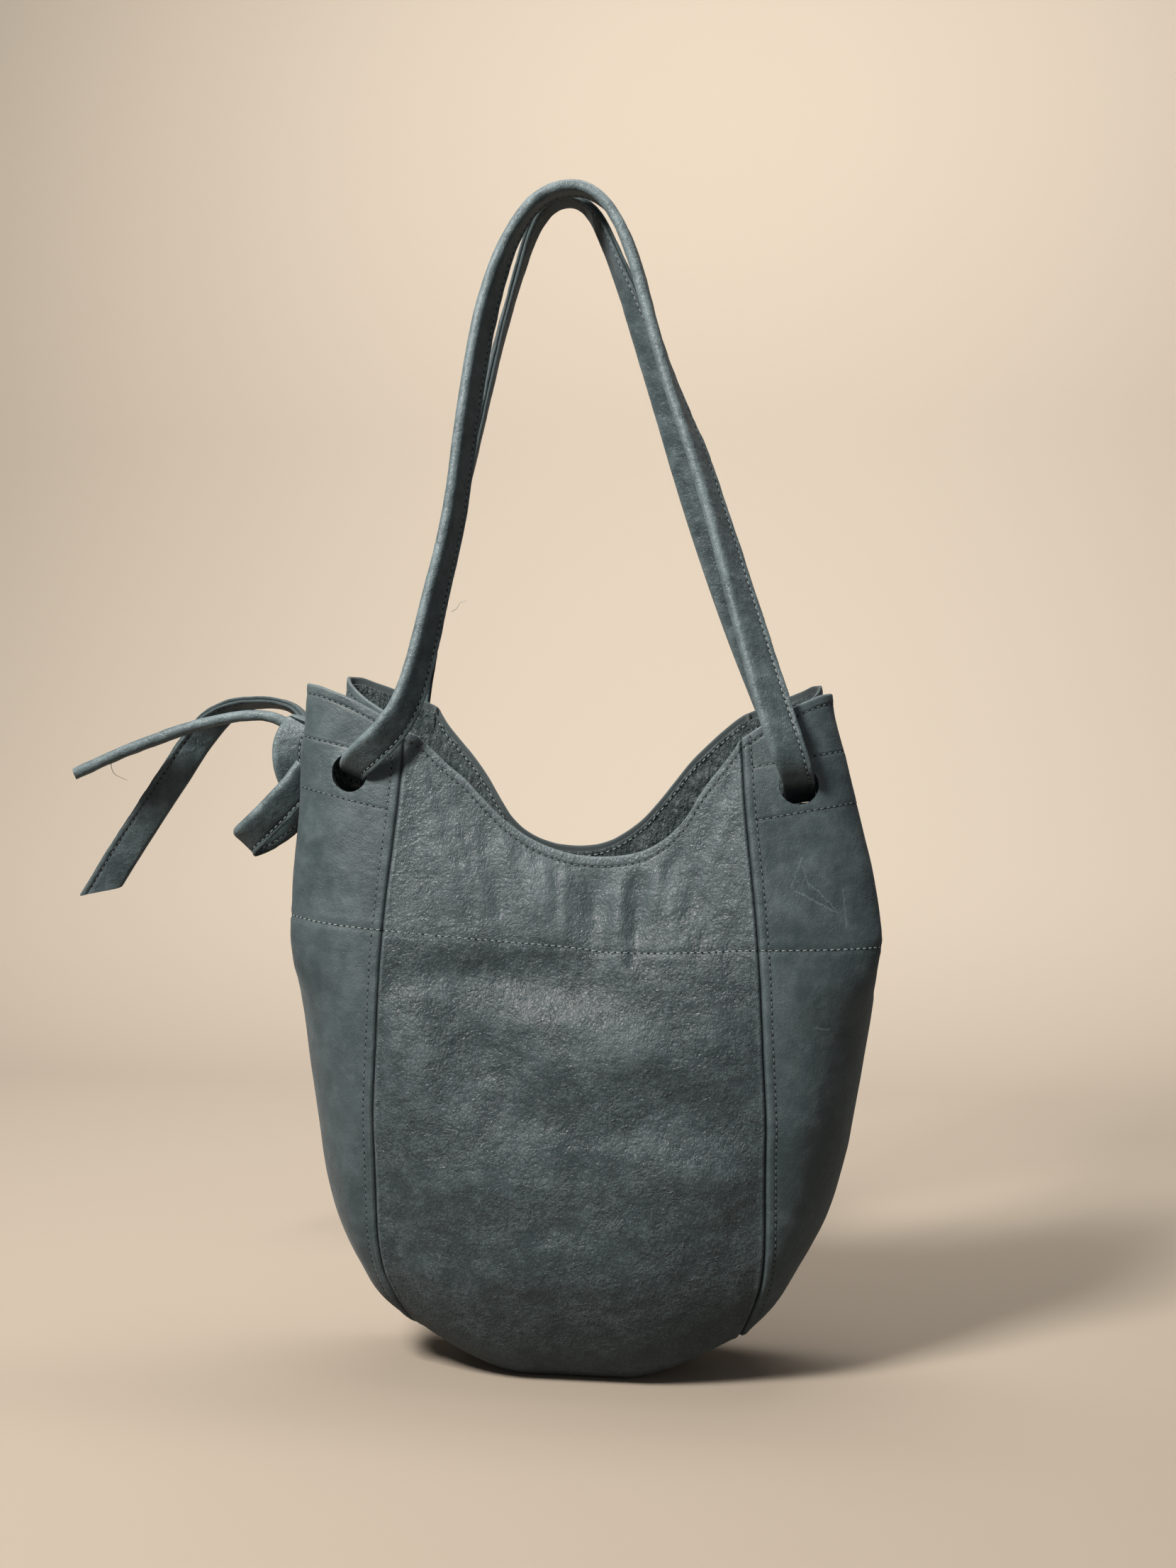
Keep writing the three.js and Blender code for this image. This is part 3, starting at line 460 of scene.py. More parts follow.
def suede(name, dark, light, strength=1.0):
    m, nt, b = new_mat(name)
    n = N(nt)
    co = n.coords()
    a, _ = n.noise(co, 0.08, 4.0, 0.6)
    f, _ = n.noise(co, 2.2, 4.0, 0.7)
    g, _ = n.noise(n.vscale(co, (1.0, 1.0, 0.25)), 5.0, 3.0, 0.7)
    base = n.mix(n.add(n.mul(a, 0.5), n.mul(f, 0.5)), dark, light)
    n.put(b.inputs["Base Color"], base)
    b.inputs["Roughness"].default_value = 0.92
    b.inputs["Specular IOR Level"].default_value = 0.2
    b.inputs["Sheen Weight"].default_value = 0.35
    bump = n.node("ShaderNodeBump")
    bump.inputs["Distance"].default_value = MM
    n.put(bump.inputs["Height"], n.mul(n.add(n.mul(f, 0.12), n.mul(g, 0.1)), strength))
    n.put(b.inputs["Normal"], bump.outputs[0])
    return m


def raw_edge(name, dark, light):
    """cut leather edge: fibrous, matt"""
    m, nt, b = new_mat(name)
    n = N(nt)
    co = n.coords()
    f, _ = n.noise(co, 1.6, 5.0, 0.75)
    g, _ = n.noise(co, 5.0, 3.0, 0.7)
    n.put(b.inputs["Base Color"], n.mix(n.rng(n.add(n.mul(f, 0.6), n.mul(g, 0.4)), 0.35, 0.65), dark, light))
    b.inputs["Roughness"].default_value = 0.85
    b.inputs["Specular IOR Level"].default_value = 0.25
    bump = n.node("ShaderNodeBump")
    bump.inputs["Distance"].default_value = MM
    n.put(bump.inputs["Height"], n.add(n.mul(f, 0.35), n.mul(g, 0.15)))
    n.put(b.inputs["Normal"], bump.outputs[0])
    return m


def thread(name, colour, dark):
    m, nt, b = new_mat(name)
    n = N(nt)
    # mixed towards the near-black colour by a vertex attribute: painted shade at the stitch ends and needle-hole discs,
    # a flat darkening on the loose threads
    e = n.attr("ends")
    tw, _ = n.noise(n.coords(), 3.0, 3.0, 0.6)
    c = n.mix(n.rng(tw, 0.3, 0.7), tuple(x * 0.75 for x in colour), colour)
    n.put(b.inputs["Base Color"], n.mix(e, c, dark))
    b.inputs["Roughness"].default_value = 0.6
    b.inputs["Specular IOR Level"].default_value = 0.35
    bump = n.node("ShaderNodeBump")
    bump.inputs["Distance"].default_value = MM
    n.put(bump.inputs["Height"], n.mul(n.noise(n.coords(), 8.0, 2.0)[0], 0.08))
    n.put(b.inputs["Normal"], bump.outputs[0])
    return m


DARK, MID, LIGHT = (0.022, 0.037, 0.042), (0.054, 0.079, 0.086), (0.165, 0.213, 0.221)
M_BODY = leather("body_leather", DARK, MID, LIGHT, grain=2.1, grain_h=1.0, crease=1.0, rough=0.40, vein=0.14, crease_size=8.0, cloudy=0.6, blotch=0.2, spec=0.6)
M_GUSSET = leather("gusset_leather", (0.038, 0.059, 0.065), (0.074, 0.103, 0.110), (0.18, 0.228, 0.234), grain=1.3,
                   grain_h=0.4, crease=0.22, rough=0.43, seed=1.0, vein=0.16, crease_size=6.0, undulate=0.5, blotch=0.16,
                   scratches=((124.4, 286, 119, 271.5, 0.7, 0.45), (121, 269, 142.8, 257.5, 0.8, 0.7), (124.8, 282, 129, 270, 0.6, 0.4),
                              (128.7, 272.7, 141.6, 259.8, 0.6, 0.6), (132, 196.8, 138.5, 195.6, 0.8, 0.8), (146, 270, 148, 250, 0.6, 0.5)))
M_FACING = leather("facing_leather", (0.028, 0.044, 0.048), (0.060, 0.086, 0.090), (0.16, 0.20, 0.205), grain=1.6,
                   grain_h=1.0, crease=1.0, rough=0.38, crinkle=1.3, seed=2.0, vein=0.3, crease_size=5.0)
M_STRAP = leather("strap_leather", (0.040, 0.062, 0.069), (0.080, 0.114, 0.123), (0.20, 0.258, 0.272), grain=1.0,
                  grain_h=0.5, crease=0.4, rough=0.32, seed=3.0, vein=0.25, crease_size=5.0)
M_FLESH = suede("flesh_suede", (0.040, 0.054, 0.056), (0.085, 0.105, 0.107))
M_EDGE = raw_edge("cut_edge", (0.028, 0.042, 0.046), (0.11, 0.14, 0.145))
# a shaded and a lit copy of one tone-on-tone thread: the darker copy on the hems, gusset seams and lower tail, the
# lighter copy on the line round the bag, the facings, the handles and the other straps
M_THREAD_SHADED = thread("thread", (0.15, 0.19, 0.195), (0.003, 0.004, 0.005))
M_THREAD_LIT = thread("thread_lit_copy", (0.30, 0.36, 0.36), (0.003, 0.004, 0.005))


# =============================================================== mesh building
def make_object(name, verts, faces, mats, face_mat=None, attrs=None, sharp=42, recalc=True):
    me = bpy.data.meshes.new(name)
    me.from_pydata((np.asarray(verts) * MM).tolist(), [], [list(map(int, f)) for f in faces])
    for m in mats:
        me.materials.append(m)
    if face_mat is not None:
        me.polygons.foreach_set("material_index", np.asarray(face_mat, np.int32))
    for k, v in (attrs or {}).items():
        a = me.attributes.new(k, "FLOAT", "POINT")
        a.data.foreach_set("value", np.asarray(v, np.float32))
    if recalc:
        bm = bmesh.new()
        bm.from_mesh(me)
        bmesh.ops.recalc_face_normals(bm, faces=bm.faces)
        bm.to_mesh(me)
        bm.free()
    me.shade_smooth()
    if sharp:
        me.set_sharp_from_angle(angle=math.radians(sharp))
    me.update()
    ob = bpy.data.objects.new(name, me)
    bpy.context.scene.collection.objects.link(ob)
    return ob


class Builder:
    def __init__(self):
        self.v, self.f, self.m, self.a, self.n = [], [], [], {}, 0

    def add(self, pts, **attrs):
        pts = np.asarray(pts, float).reshape(-1, 3)
        i0 = self.n
        self.v.append(pts)
        self.n += len(pts)
        for k in set(self.a) | set(attrs):
            if k not in self.a:
                self.a[k] = [np.zeros(i0)]
            val = attrs.get(k, 0.0)
            self.a[k].append(np.broadcast_to(np.asarray(val, float).ravel() if np.ndim(val) else float(val), (len(pts),)).copy())
        return np.arange(i0, self.n)

    def quads(self, q, mat=0):
        q = np.asarray(q).reshape(-1, 4)
        self.f.extend(q.tolist())
        self.m.extend([mat] * len(q))

    def tris(self, q, mat=0):
        q = np.asarray(q).reshape(-1, 3)
        self.f.extend(q.tolist())
        self.m.extend([mat] * len(q))

    def build(self, name, mats, **kw):
        return make_object(name, np.concatenate(self.v), self.f, mats, self.m,
                           {k: np.concatenate(v) for k, v in self.a.items()}, **kw)


def grid_dist(P):
    """distances in mm: from the first column, to the last column, from the first row, to the last row"""
    dc = np.concatenate([np.zeros((P.shape[0], 1)), np.cumsum(np.linalg.norm(np.diff(P, axis=1), axis=2), 1)], 1)
    dr = np.concatenate([np.zeros((1, P.shape[1])), np.cumsum(np.linalg.norm(np.diff(P, axis=0), axis=2), 0)], 0)
    return dc, dc[:, -1:] - dc, dr, dr[-1:] - dr


def sheet(name, P, Nn, T, mats, attrs, holes=(), round_rows=True, rim_mat=0, inner_mat=1, face_mat=None, sharp=42,
          squash_edge=1.0, transform=None, disp_in=None):
    """closed leather sheet: outer grid P, inner grid P - N*T, rounded rim; holes is a list of masks and snap centres"""
    R, C = P.shape[:2]
    T = np.broadcast_to(T, (R, C))
    keep = np.ones((R - 1, C - 1), bool)
    P = P.copy()
    Q = P - Nn * T[..., None]
    if disp_in is not None:
        Q = Q + Nn * disp_in[..., None]
    snapped = np.zeros((R, C), bool)
    for (cx, cz, r, zone) in holes:
        for arr_i, A in enumerate((P, Q)):
            d = np.hypot(A[..., 0] - cx, A[..., 2] - cz)
            if arr_i == 0:
                cc = (P[:-1, :-1] + P[1:, :-1] + P[:-1, 1:] + P[1:, 1:]) / 4
                dead = (np.hypot(cc[..., 0] - cx, cc[..., 2] - cz) < r) & zone[:-1, :-1]
                keep &= ~dead
                touch = np.zeros((R, C), bool)
                alive = np.zeros((R, C), bool)
                for di in (0, 1):
                    for dj in (0, 1):
                        touch[di:R - 1 + di, dj:C - 1 + dj] |= dead
                        alive[di:R - 1 + di, dj:C - 1 + dj] |= keep
                rim = touch & alive
                snapped |= rim
            k = np.where(rim, r / np.maximum(d, 1e-6), 1.0)
            A[..., 0] = np.where(rim, cx + (A[..., 0] - cx) * k, A[..., 0])
            A[..., 2] = np.where(rim, cz + (A[..., 2] - cz) * k, A[..., 2])
    if transform is not None:
        P, Q = transform(P), transform(Q)
    b = Builder()
    fa = {k: np.asarray(v, float).reshape(-1) for k, v in attrs.items()}
    io = b.add(P, **fa).reshape(R, C)
    ii = b.add(Q, **fa).reshape(R, C)
    I, J = np.nonzero(keep)
    b.quads(np.stack([io[I, J], io[I + 1, J], io[I + 1, J + 1], io[I, J + 1]], 1), 0)
    if face_mat is not None:
        b.m = [int(x) for x in face_mat[I, J]]
    b.quads(np.stack([ii[I, J], ii[I, J + 1], ii[I + 1, J + 1], ii[I + 1, J]], 1), inner_mat)
    # hole walls
    for (i, j) in np.argwhere(~keep):
        for (a, c, ni, nj) in (((i, j), (i, j + 1), i - 1, j), ((i + 1, j), (i + 1, j + 1), i + 1, j),
                               ((i, j), (i + 1, j), i, j - 1), ((i, j + 1), (i + 1, j + 1), i, j + 1)):
            if 0 <= ni < R - 1 and 0 <= nj < C - 1 and keep[ni, nj]:
                b.quads([[io[a], io[c], ii[c], ii[a]]], rim_mat)
    # rounded rim along the border
    loop = [(0, j) for j in range(C)] + [(i, C - 1) for i in range(1, R)] + \
           [(R - 1, j) for j in range(C - 2, -1, -1)] + [(i, 0) for i in range(R - 2, 0, -1)]
    li = np.array(loop)
    Po, Pi = P[li[:, 0], li[:, 1]], Q[li[:, 0], li[:, 1]]
    c, hv = (Po + Pi) / 2, (Po - Pi) / 2
    inward = np.zeros_like(Po)
    for k, (i, j) in enumerate(loop):
        d = np.zeros(3)
        if i == 0: d += unit(P[1, j] - P[0, j])
        if i == R - 1: d += unit(P[R - 2, j] - P[R - 1, j])
        if j == 0: d += unit(P[i, 1] - P[i, 0])
        if j == C - 1: d += unit(P[i, C - 2] - P[i, C - 1])
        inward[k] = -d
    hl = np.linalg.norm(hv, axis=1, keepdims=True)
    hn = hv / np.maximum(hl, 1e-6)
    D = unit(inward - (inward * hn).sum(1, keepdims=True) * hn)
    prev = io[li[:, 0], li[:, 1]]
    fl = {k: v.reshape(R, C)[li[:, 0], li[:, 1]] for k, v in fa.items()}
    steps = [30, 62, 90, 118, 150] if round_rows else [90]
    for th in steps:
        t = math.radians(th)
        pts = c + hv * math.cos(t) + D * hl * math.sin(t) * squash_edge
        cur = b.add(pts, **fl)
        b.quads(np.stack([prev, np.roll(prev, -1), np.roll(cur, -1), cur], 1), 0 if th < 100 else inner_mat)
        prev = cur
    last = ii[li[:, 0], li[:, 1]]
    b.quads(np.stack([prev, np.roll(prev, -1), np.roll(last, -1), last], 1), inner_mat)
    return b.build(name, mats, sharp=sharp)


def bilerp(A, r, c):
    R, C = A.shape[:2]
    r, c = np.clip(r, 0, R - 1.0001), np.clip(c, 0, C - 1.0001)
    i, j = r.astype(int), c.astype(int)
    fr, fc = (r - i)[:, None], (c - j)[:, None]
    return (A[i, j] * (1 - fr) * (1 - fc) + A[i + 1, j] * fr * (1 - fc) + A[i, j + 1] * (1 - fr) * fc
            + A[i + 1, j + 1] * fr * fc)


# one stitch: a small twisted capsule along x, and the flat discs, painted dark as the shade of the needle holes, that
# its ends go into
def _capsule(nl=7, na=8):
    x = np.linspace(-1, 1, nl)
    r = np.sqrt(np.maximum(1 - np.abs(x) ** 3.0, 0.0))
    r[0] = r[-1] = 0.22
    a = np.linspace(0, 2 * math.pi, na, endpoint=False)
    v = np.array([[xx, rr * math.cos(t), rr * math.sin(t)] for xx, rr in zip(x, r) for t in a])
    q = [[i * na + j, i * na + (j + 1) % na, (i + 1) * na + (j + 1) % na, (i + 1) * na + j]
         for i in range(nl - 1) for j in range(na)]
    caps = [list(range(na))[::-1], [(nl - 1) * na + j for j in range(na)]]
    # painted shade: the capsule is darkened towards its ends, where it dives into the needle holes
    e = np.repeat(np.where(np.abs(x) > 0.8, 0.9, np.where(np.abs(x) > 0.5, 0.1, 0.0)), na)
    return v, q, caps, e


def _pit(na=9):
    """shallow closed button: rim under the leather, top just proud of it"""
    a = np.linspace(0, 2 * math.pi, na, endpoint=False)
    v = [[math.cos(t), math.sin(t), -1.0] for t in a] + [[0.72 * math.cos(t), 0.72 * math.sin(t), 0.75] for t in a] + [[0, 0, 1.0], [0, 0, -1.0]]
    f = []
    for j in range(na):
        k = (j + 1) % na
        f += [[j, k, na + k, na + j], [na + j, na + k, 2 * na], [k, j, 2 * na + 1]]
    return np.array(v), f


CAP, PIT = _capsule(), _pit()


def stitch_mesh(name, rows, mat, pitch=3.7, length=2.75, radius=0.34, lift=0.08, pit=0.5):
    """rows: list of (points, normals) polylines on the surface, in mm"""
    V, F, E, n0 = [], [], [], 0
    rg = np.random.default_rng(len(name) * 7 + 5)
    cv, cq, cc, ce = CAP
    pv, pf = PIT
    for pts, nor in rows:
        seg = np.linalg.norm(np.diff(pts, axis=0), axis=1)
        t = np.concatenate([[0], np.cumsum(seg)])
        if t[-1] < pitch:
            continue
        k = max(1, int(round(t[-1] / pitch)))

        def axes(s):
            P = np.stack([np.interp(s, t, pts[:, i]) for i in range(3)], 1)
            A = np.stack([np.interp(s + 0.8, t, pts[:, i]) for i in range(3)], 1)
            B_ = np.stack([np.interp(s - 0.8, t, pts[:, i]) for i in range(3)], 1)
            X = unit(A - B_)
            Z = unit(np.stack([np.interp(s, t, nor[:, i]) for i in range(3)], 1))
            Z = unit(Z - (Z * X).sum(1, keepdims=True) * X)
            return P, X, np.cross(Z, X), Z

        s = (np.arange(k) + 0.5) * t[-1] / k
        s = s + rg.uniform(-0.12, 0.12, len(s))
        P, X, Y, Z = axes(s)
        ang = rg.normal(0.05, 0.05, len(s))[:, None]
        X, Y = X * np.cos(ang) + Y * np.sin(ang), Y * np.cos(ang) - X * np.sin(ang)
        L = length / 2 * rg.uniform(0.94, 1.05, len(s))[:, None, None]
        pt = (P[:, None] + X[:, None] * cv[None, :, 0:1] * L + Y[:, None] * cv[None, :, 1:2] * radius
              + Z[:, None] * (cv[None, :, 2:3] * radius * 0.8 + lift - 0.16 * np.abs(cv[None, :, 0:1]) ** 2))
        for p in pt:
            V.append(p)
            F.extend([[a + n0 for a in q] for q in cq])
            F.extend([[a + n0 for a in q] for q in cc])
            E.append(ce)
            n0 += len(cv)
        if pit:
            s = np.concatenate([[max(0.3, s[0] - 1.85)], (s[1:] + s[:-1]) / 2, [min(t[-1] - 0.3, s[-1] + 1.85)]])
            P, X, Y, Z = axes(s)
            grow = rg.uniform(0.85, 1.2, len(s))[:, None, None]
            pt = (P[:, None] + X[:, None] * pv[None, :, 0:1] * (pit * 1.5) * grow + Y[:, None] * pv[None, :, 1:2] * pit * grow
                  + Z[:, None] * (pv[None, :, 2:3] * 0.17 + lift - 0.03))
            for p in pt:
                V.append(p)
                F.extend([[a + n0 for a in q] for q in pf])
                # painted shade: the needle-hole discs are fully dark
                E.append(np.ones(len(pv)))
                n0 += len(pv)
    return make_object(name, np.concatenate(V), F, [mat], None, {"ends": np.concatenate(E)}, sharp=None, recalc=False)


PIECES = {}


def done(ob, body="bag", replaces=()):
    if replaces:
        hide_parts(*replaces)
    if body:
        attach(ob, body)
    PIECES[ob.name] = ob
    return ob


# =============================================================== body panel
EDGE = [0, .35, .7, 1.05, 1.5, 2, 2.6, 3.3, 4.1, 5, 6, 7.2, 8.6, 10.2]


def edge_list(total, step, edge=EDGE, both=True):
    """positions 0..total in mm, close together near the ends"""
    e = list(edge)
    if both:
        mid = np.linspace(e[-1], total - e[-1], max(2, int(round((total - 2 * e[-1]) / step)) + 1))
        return np.array(e[:-1] + list(mid) + [total - x for x in e[:-1]][::-1])
    mid = np.linspace(e[-1], total, max(2, int(round((total - e[-1]) / step)) + 1))
    return np.array(e[:-1] + list(mid))


US = -1 + 2 * edge_list(208, 2.0) / 208
VS = edge_list(352, 2.0, edge=[0, .4, .8, 1.3, 1.9, 2.6, 3.3, 4.0, 4.6, 5.2, 6, 7, 8.4, 10], both=False) / 352
WS = np.concatenate([-(1 - VS), (1 - VS)[::-1][1:]])

# soft bulges and hollows of the front, as (x, z, size across, size along, turn in degrees, height)
DENTS_FRONT = [
    (-15, 262, 9, 17, 4, 2.2), (14, 259, 4.5, 20, 2, -1.9), (27, 256, 5, 15, 0, 1.5), (36, 258, 3.6, 20, -6, -1.7),
    (50, 266, 8, 22, 18, 1.7), (-33, 279, 7, 13, 10, 1.3), (-52, 258, 10, 24, 22, 0.8), (70, 262, 6, 28, 30, -0.9),
    (-52, 222, 42, 8.5, 6, -2.8), (-8, 214, 26, 9, -4, -2.2), (31, 223, 6, 10, 6, 1.7), (27, 184, 24, 17, 10, 2.2),
    (-82, 186, 15, 32, 0, 2.2), (-42, 170, 14, 34, 26, -2.6), (62, 152, 28, 12, -20, -1.8), (66, 122, 24, 10, -14, 1.9),
    (12, 142, 42, 9, -10, -1.1), (-60, 108, 30, 15, 4, 1.2), (0, 92, 48, 9, 3, -0.8), (74, 205, 10, 26, 8, 1.0),
    (52, 226, 9, 12, -16, 0.9), (-5, 60, 60, 9, 0, 0.8), (38, 88, 20, 8, -18, 0.9)]
DENTS_BACK = [
    (-48, 262, 9, 18, -12, 1.8), (-22, 258, 5, 20, 0, -1.6), (0, 262, 7, 16, 4, 1.6), (22, 258, 5, 18, 0, -1.3),
    (44, 270, 9, 20, 14, 1.6), (40, 218, 40, 9, -6, -2.4), (-20, 212, 28, 10, 6, -2.0), (-52, 184, 24, 18, -10, 2.0),
    (64, 180, 18, 28, 0, 2.0), (8, 166, 16, 32, -24, -2.2), (-50, 140, 28, 12, 16, -1.5), (36, 118, 26, 12, -10, 1.6),
    (-40, 96, 30, 12, 0, 1.0), (0, 62, 60, 9, 0, 0.7)]


def dents(items, x, z):
    r = np.zeros_like(x)
    for cx, cz, sx, sz, deg, amp in items:
        a = math.radians(deg)
        dx, dz = x - cx, z - cz
        p, q = dx * math.cos(a) + dz * math.sin(a), -dx * math.sin(a) + dz * math.cos(a)
        r += amp * np.exp(-(p / (sx * 1.25)) ** 2 - (q / (sz * 1.25)) ** 2)
    return r


def seam_sink(d, ridge=0.0):
    r = -1.2 * gauss(d, 0.55) - 0.4 * gauss(d, 1.7)
    if ridge:
        r = r + ridge * smooth(0.9, 2.0, d) * (1 - smooth(4.8, 6.2, d))
    else:
        r = r + 0.4 * gauss(d - 2.6, 1.5)
    return r


def hem(d):
    return 0.3 * (1 - smooth(3.2, 5.4, d)) - 0.22 * gauss(d - 4.6, 0.8)


def body_sheet():
    U, Wg = np.meshgrid(US, WS)
    P0 = body_point(U, Wg)
    N0 = body_normal(U, Wg)
    dl, dr, _, _ = grid_dist(P0)
    d = np.minimum(dl, dr)
    v = 1 - np.abs(Wg)
    mid = len(VS) - 1
    dtop = np.zeros_like(U)
    _, _, a, _ = grid_dist(P0[:mid + 1])
    dtop[:mid + 1] = a
    _, _, a, _ = grid_dist(P0[mid:][::-1])
    dtop[mid:] = a[::-1]
    nb = N0.copy()
    for col, sd in ((0, -1), (-1, 1)):
        nb[:, col] = np.where((Wg[:, col] <= 0)[:, None], seam_normal(sd, -1, v[:, col]), seam_normal(sd, 1, v[:, col]))
    k = smooth(0, 6, dl)[..., None]
    N1 = unit(lerp(np.broadcast_to(nb[:, :1], N0.shape), N0, k))
    k = smooth(0, 6, dr)[..., None]
    N1 = unit(lerp(np.broadcast_to(nb[:, -1:], N0.shape), N1, k))
    S = sag(P0)
    x, z = P0[..., 0], P0[..., 2]
    front = Wg <= 0
    ring = S[..., 2] - RING(x)
    inner = smooth(2, 14, d)
    under = smooth(20, 60, z)
    big = 1.35 * np.where(front, dents(DENTS_FRONT, x, z), dents(DENTS_BACK, x, z))
    wv = np.where(front, 0, 400.0)
    noise = (1.0 * fbm(x / 52 + wv, z / 44, 1, 2) + 0.34 * fbm(x / 17 + wv, z / 14, 2, 3)) * under
    # short creases under the scoop, running down and outwards
    run = smooth(215, 262, z) * (1 - smooth(0.5, 12, 12 - dtop)) * (1 - smooth(60, 92, np.abs(x)) * 0.5)
    ang = x * 0.004
    pucker = 0.85 * vnoise((x - (z - 283) * ang) / 6.5 + wv, z / 60, 5) + 0.42 * vnoise((x - (z - 283) * ang) / 3.0 + wv, z / 38, 6)
    ringp = 0.32 * vnoise(x / 2.6 + wv, z / 30, 7) * np.exp(-np.abs(ring) / 7.0)
    flatten = 1 - smooth(0.9, 1.0, v) * 0.7
    disp = (big * inner * smooth(3, 14, dtop) + noise * inner * smooth(4, 16, dtop) * 0.9 + pucker * run * inner * smooth(4, 14, dtop) + ringp) * flatten
    disp = disp - 0.55 * gauss(ring, 0.9) * (v < 0.6) + 0.25 * gauss(ring - 3.2, 2.2) * (v < 0.6) + 0.3 * gauss(ring + 3.0, 2.2) * (v < 0.6)
    disp = disp + seam_sink(d) + hem(dtop)
    # no deeper than the floor
    disp = disp * (1 - (1 - smooth(0, 12, z)) * 0.75)
    P1 = P0 + N1 * disp[..., None]
    T = 1.8 + 0.6 * (1 - smooth(4.5, 7.5, dtop))
    st = np.minimum(np.abs(dtop - 4.6), np.where(v < 0.6, np.abs(ring), 50))
    wear = np.clip(0.55 * gauss(dtop, 1.3) + 0.3 * gauss(d - 2.4, 1.0) + 0.28 * smooth(0.8, 3.0, big)
                   + 0.35 * gauss(z - 12, 14) * smooth(0.7, 0.9, v), 0, 1)
    # painted shade in the crease of the seams
    tint = np.clip(0.95 * gauss(d, 0.62), 0, 1)
    # painted light and shade: lighter above the line round the bag, darker on the middle right, in the middle and near
    # the bottom, as the light falls
    tone = 0.20 * smooth(-12, 14, ring) * (v < 0.6) - 0.34 * gauss(x - 70, 34) * gauss(z - 178, 60) - 0.12 * gauss(z - 20, 40) * smooth(0.5, 0.8, v)
    tone = tone - 0.10 * gauss(x, 46) * gauss(z - 190, 46)
    return dict(tone=tone, P=sag(P1), N=N1, P0=P0, T=T, dl=dl, dr=dr, dtop=dtop, ring=ring, v=v, W=Wg, st=st, wear=wear, tint=tint, mid=mid)


B = body_sheet()
ob = sheet("body_panel_leather", B["P"], B["N"], B["T"], [M_BODY, M_FLESH], {"stitch_d": B["st"], "wear": B["wear"], "tint": B["tint"], "tone": B["tone"]})
done(ob, replaces=("body_panel",))


def grid_normals(P):
    return unit(np.cross(np.gradient(P, axis=1), np.gradient(P, axis=0)))


def row_of(P, Nn, r, c):
    return bilerp(P, np.asarray(r, float), np.asarray(c, float)), bilerp(Nn, np.asarray(r, float), np.asarray(c, float))


def line_const_row(D, value, c0, c1, rows):
    """fractional row at which D (increasing down the rows) reaches value, for columns c0..c1"""
    cols = np.arange(c0, c1 + 1)
    idx = np.arange(rows[0], rows[1] + 1)
    out = []
    for c in cols:
        col = D[idx, c]
        out.append(np.interp(value if np.ndim(value) == 0 else value[c], col, idx))
    return np.array(out), cols.astype(float)


R_, C_ = B["W"].shape
rows_b = []
NB = grid_normals(B["P"])
NB = np.where(((NB * B["N"]).sum(-1) < 0)[..., None], -NB, NB)
# hem stitches of the front scoop, then the back scoop
r, c = line_const_row(B["dtop"], 4.6, 3, C_ - 4, (0, B["mid"]))
rows_b.append(row_of(B["P"], NB, r, c))
r, c = line_const_row(B["dtop"][::-1], 4.6, 3, C_ - 4, (0, R_ - 1 - B["mid"]))
rows_b.append(row_of(B["P"], NB, R_ - 1 - r, c))
# the line round the bag
sel = int(np.argmax(B["v"][:, 0] > 0.62))
r, c = line_const_row(-B["ring"], 0.0, 2, C_ - 3, (4, sel))
rows_b.append(row_of(B["P"], NB, r, c))
r, c = line_const_row(-B["ring"][::-1], 0.0, 2, C_ - 3, (4, sel))
rows_b.append(row_of(B["P"], NB, R_ - 1 - r, c))
done(stitch_mesh("body_panel_hem_stitches", rows_b[:2], M_THREAD_SHADED, length=2.7, radius=0.33, lift=0.04))
done(stitch_mesh("body_panel_ring_stitches", rows_b[2:], M_THREAD_LIT, length=2.7, radius=0.33, lift=0.06))

# =============================================================== gussets
SS = -1 + 2 * edge_list(216, 1.9) / 216
GV = edge_list(372, 2.0, edge=[0, .4, .8, 1.3, 1.9, 2.6, 3.3, 4.0, 4.6, 5.2, 6, 7, 8.4, 10], both=False) / 372
# finer rows where the holes are
fine = np.linspace(0.055, 0.135, 36)
GV = np.unique(np.concatenate([GV[(GV < 0.055)], fine, GV[(GV > 0.135)]]))
GV = GV[GV <= 0.995]


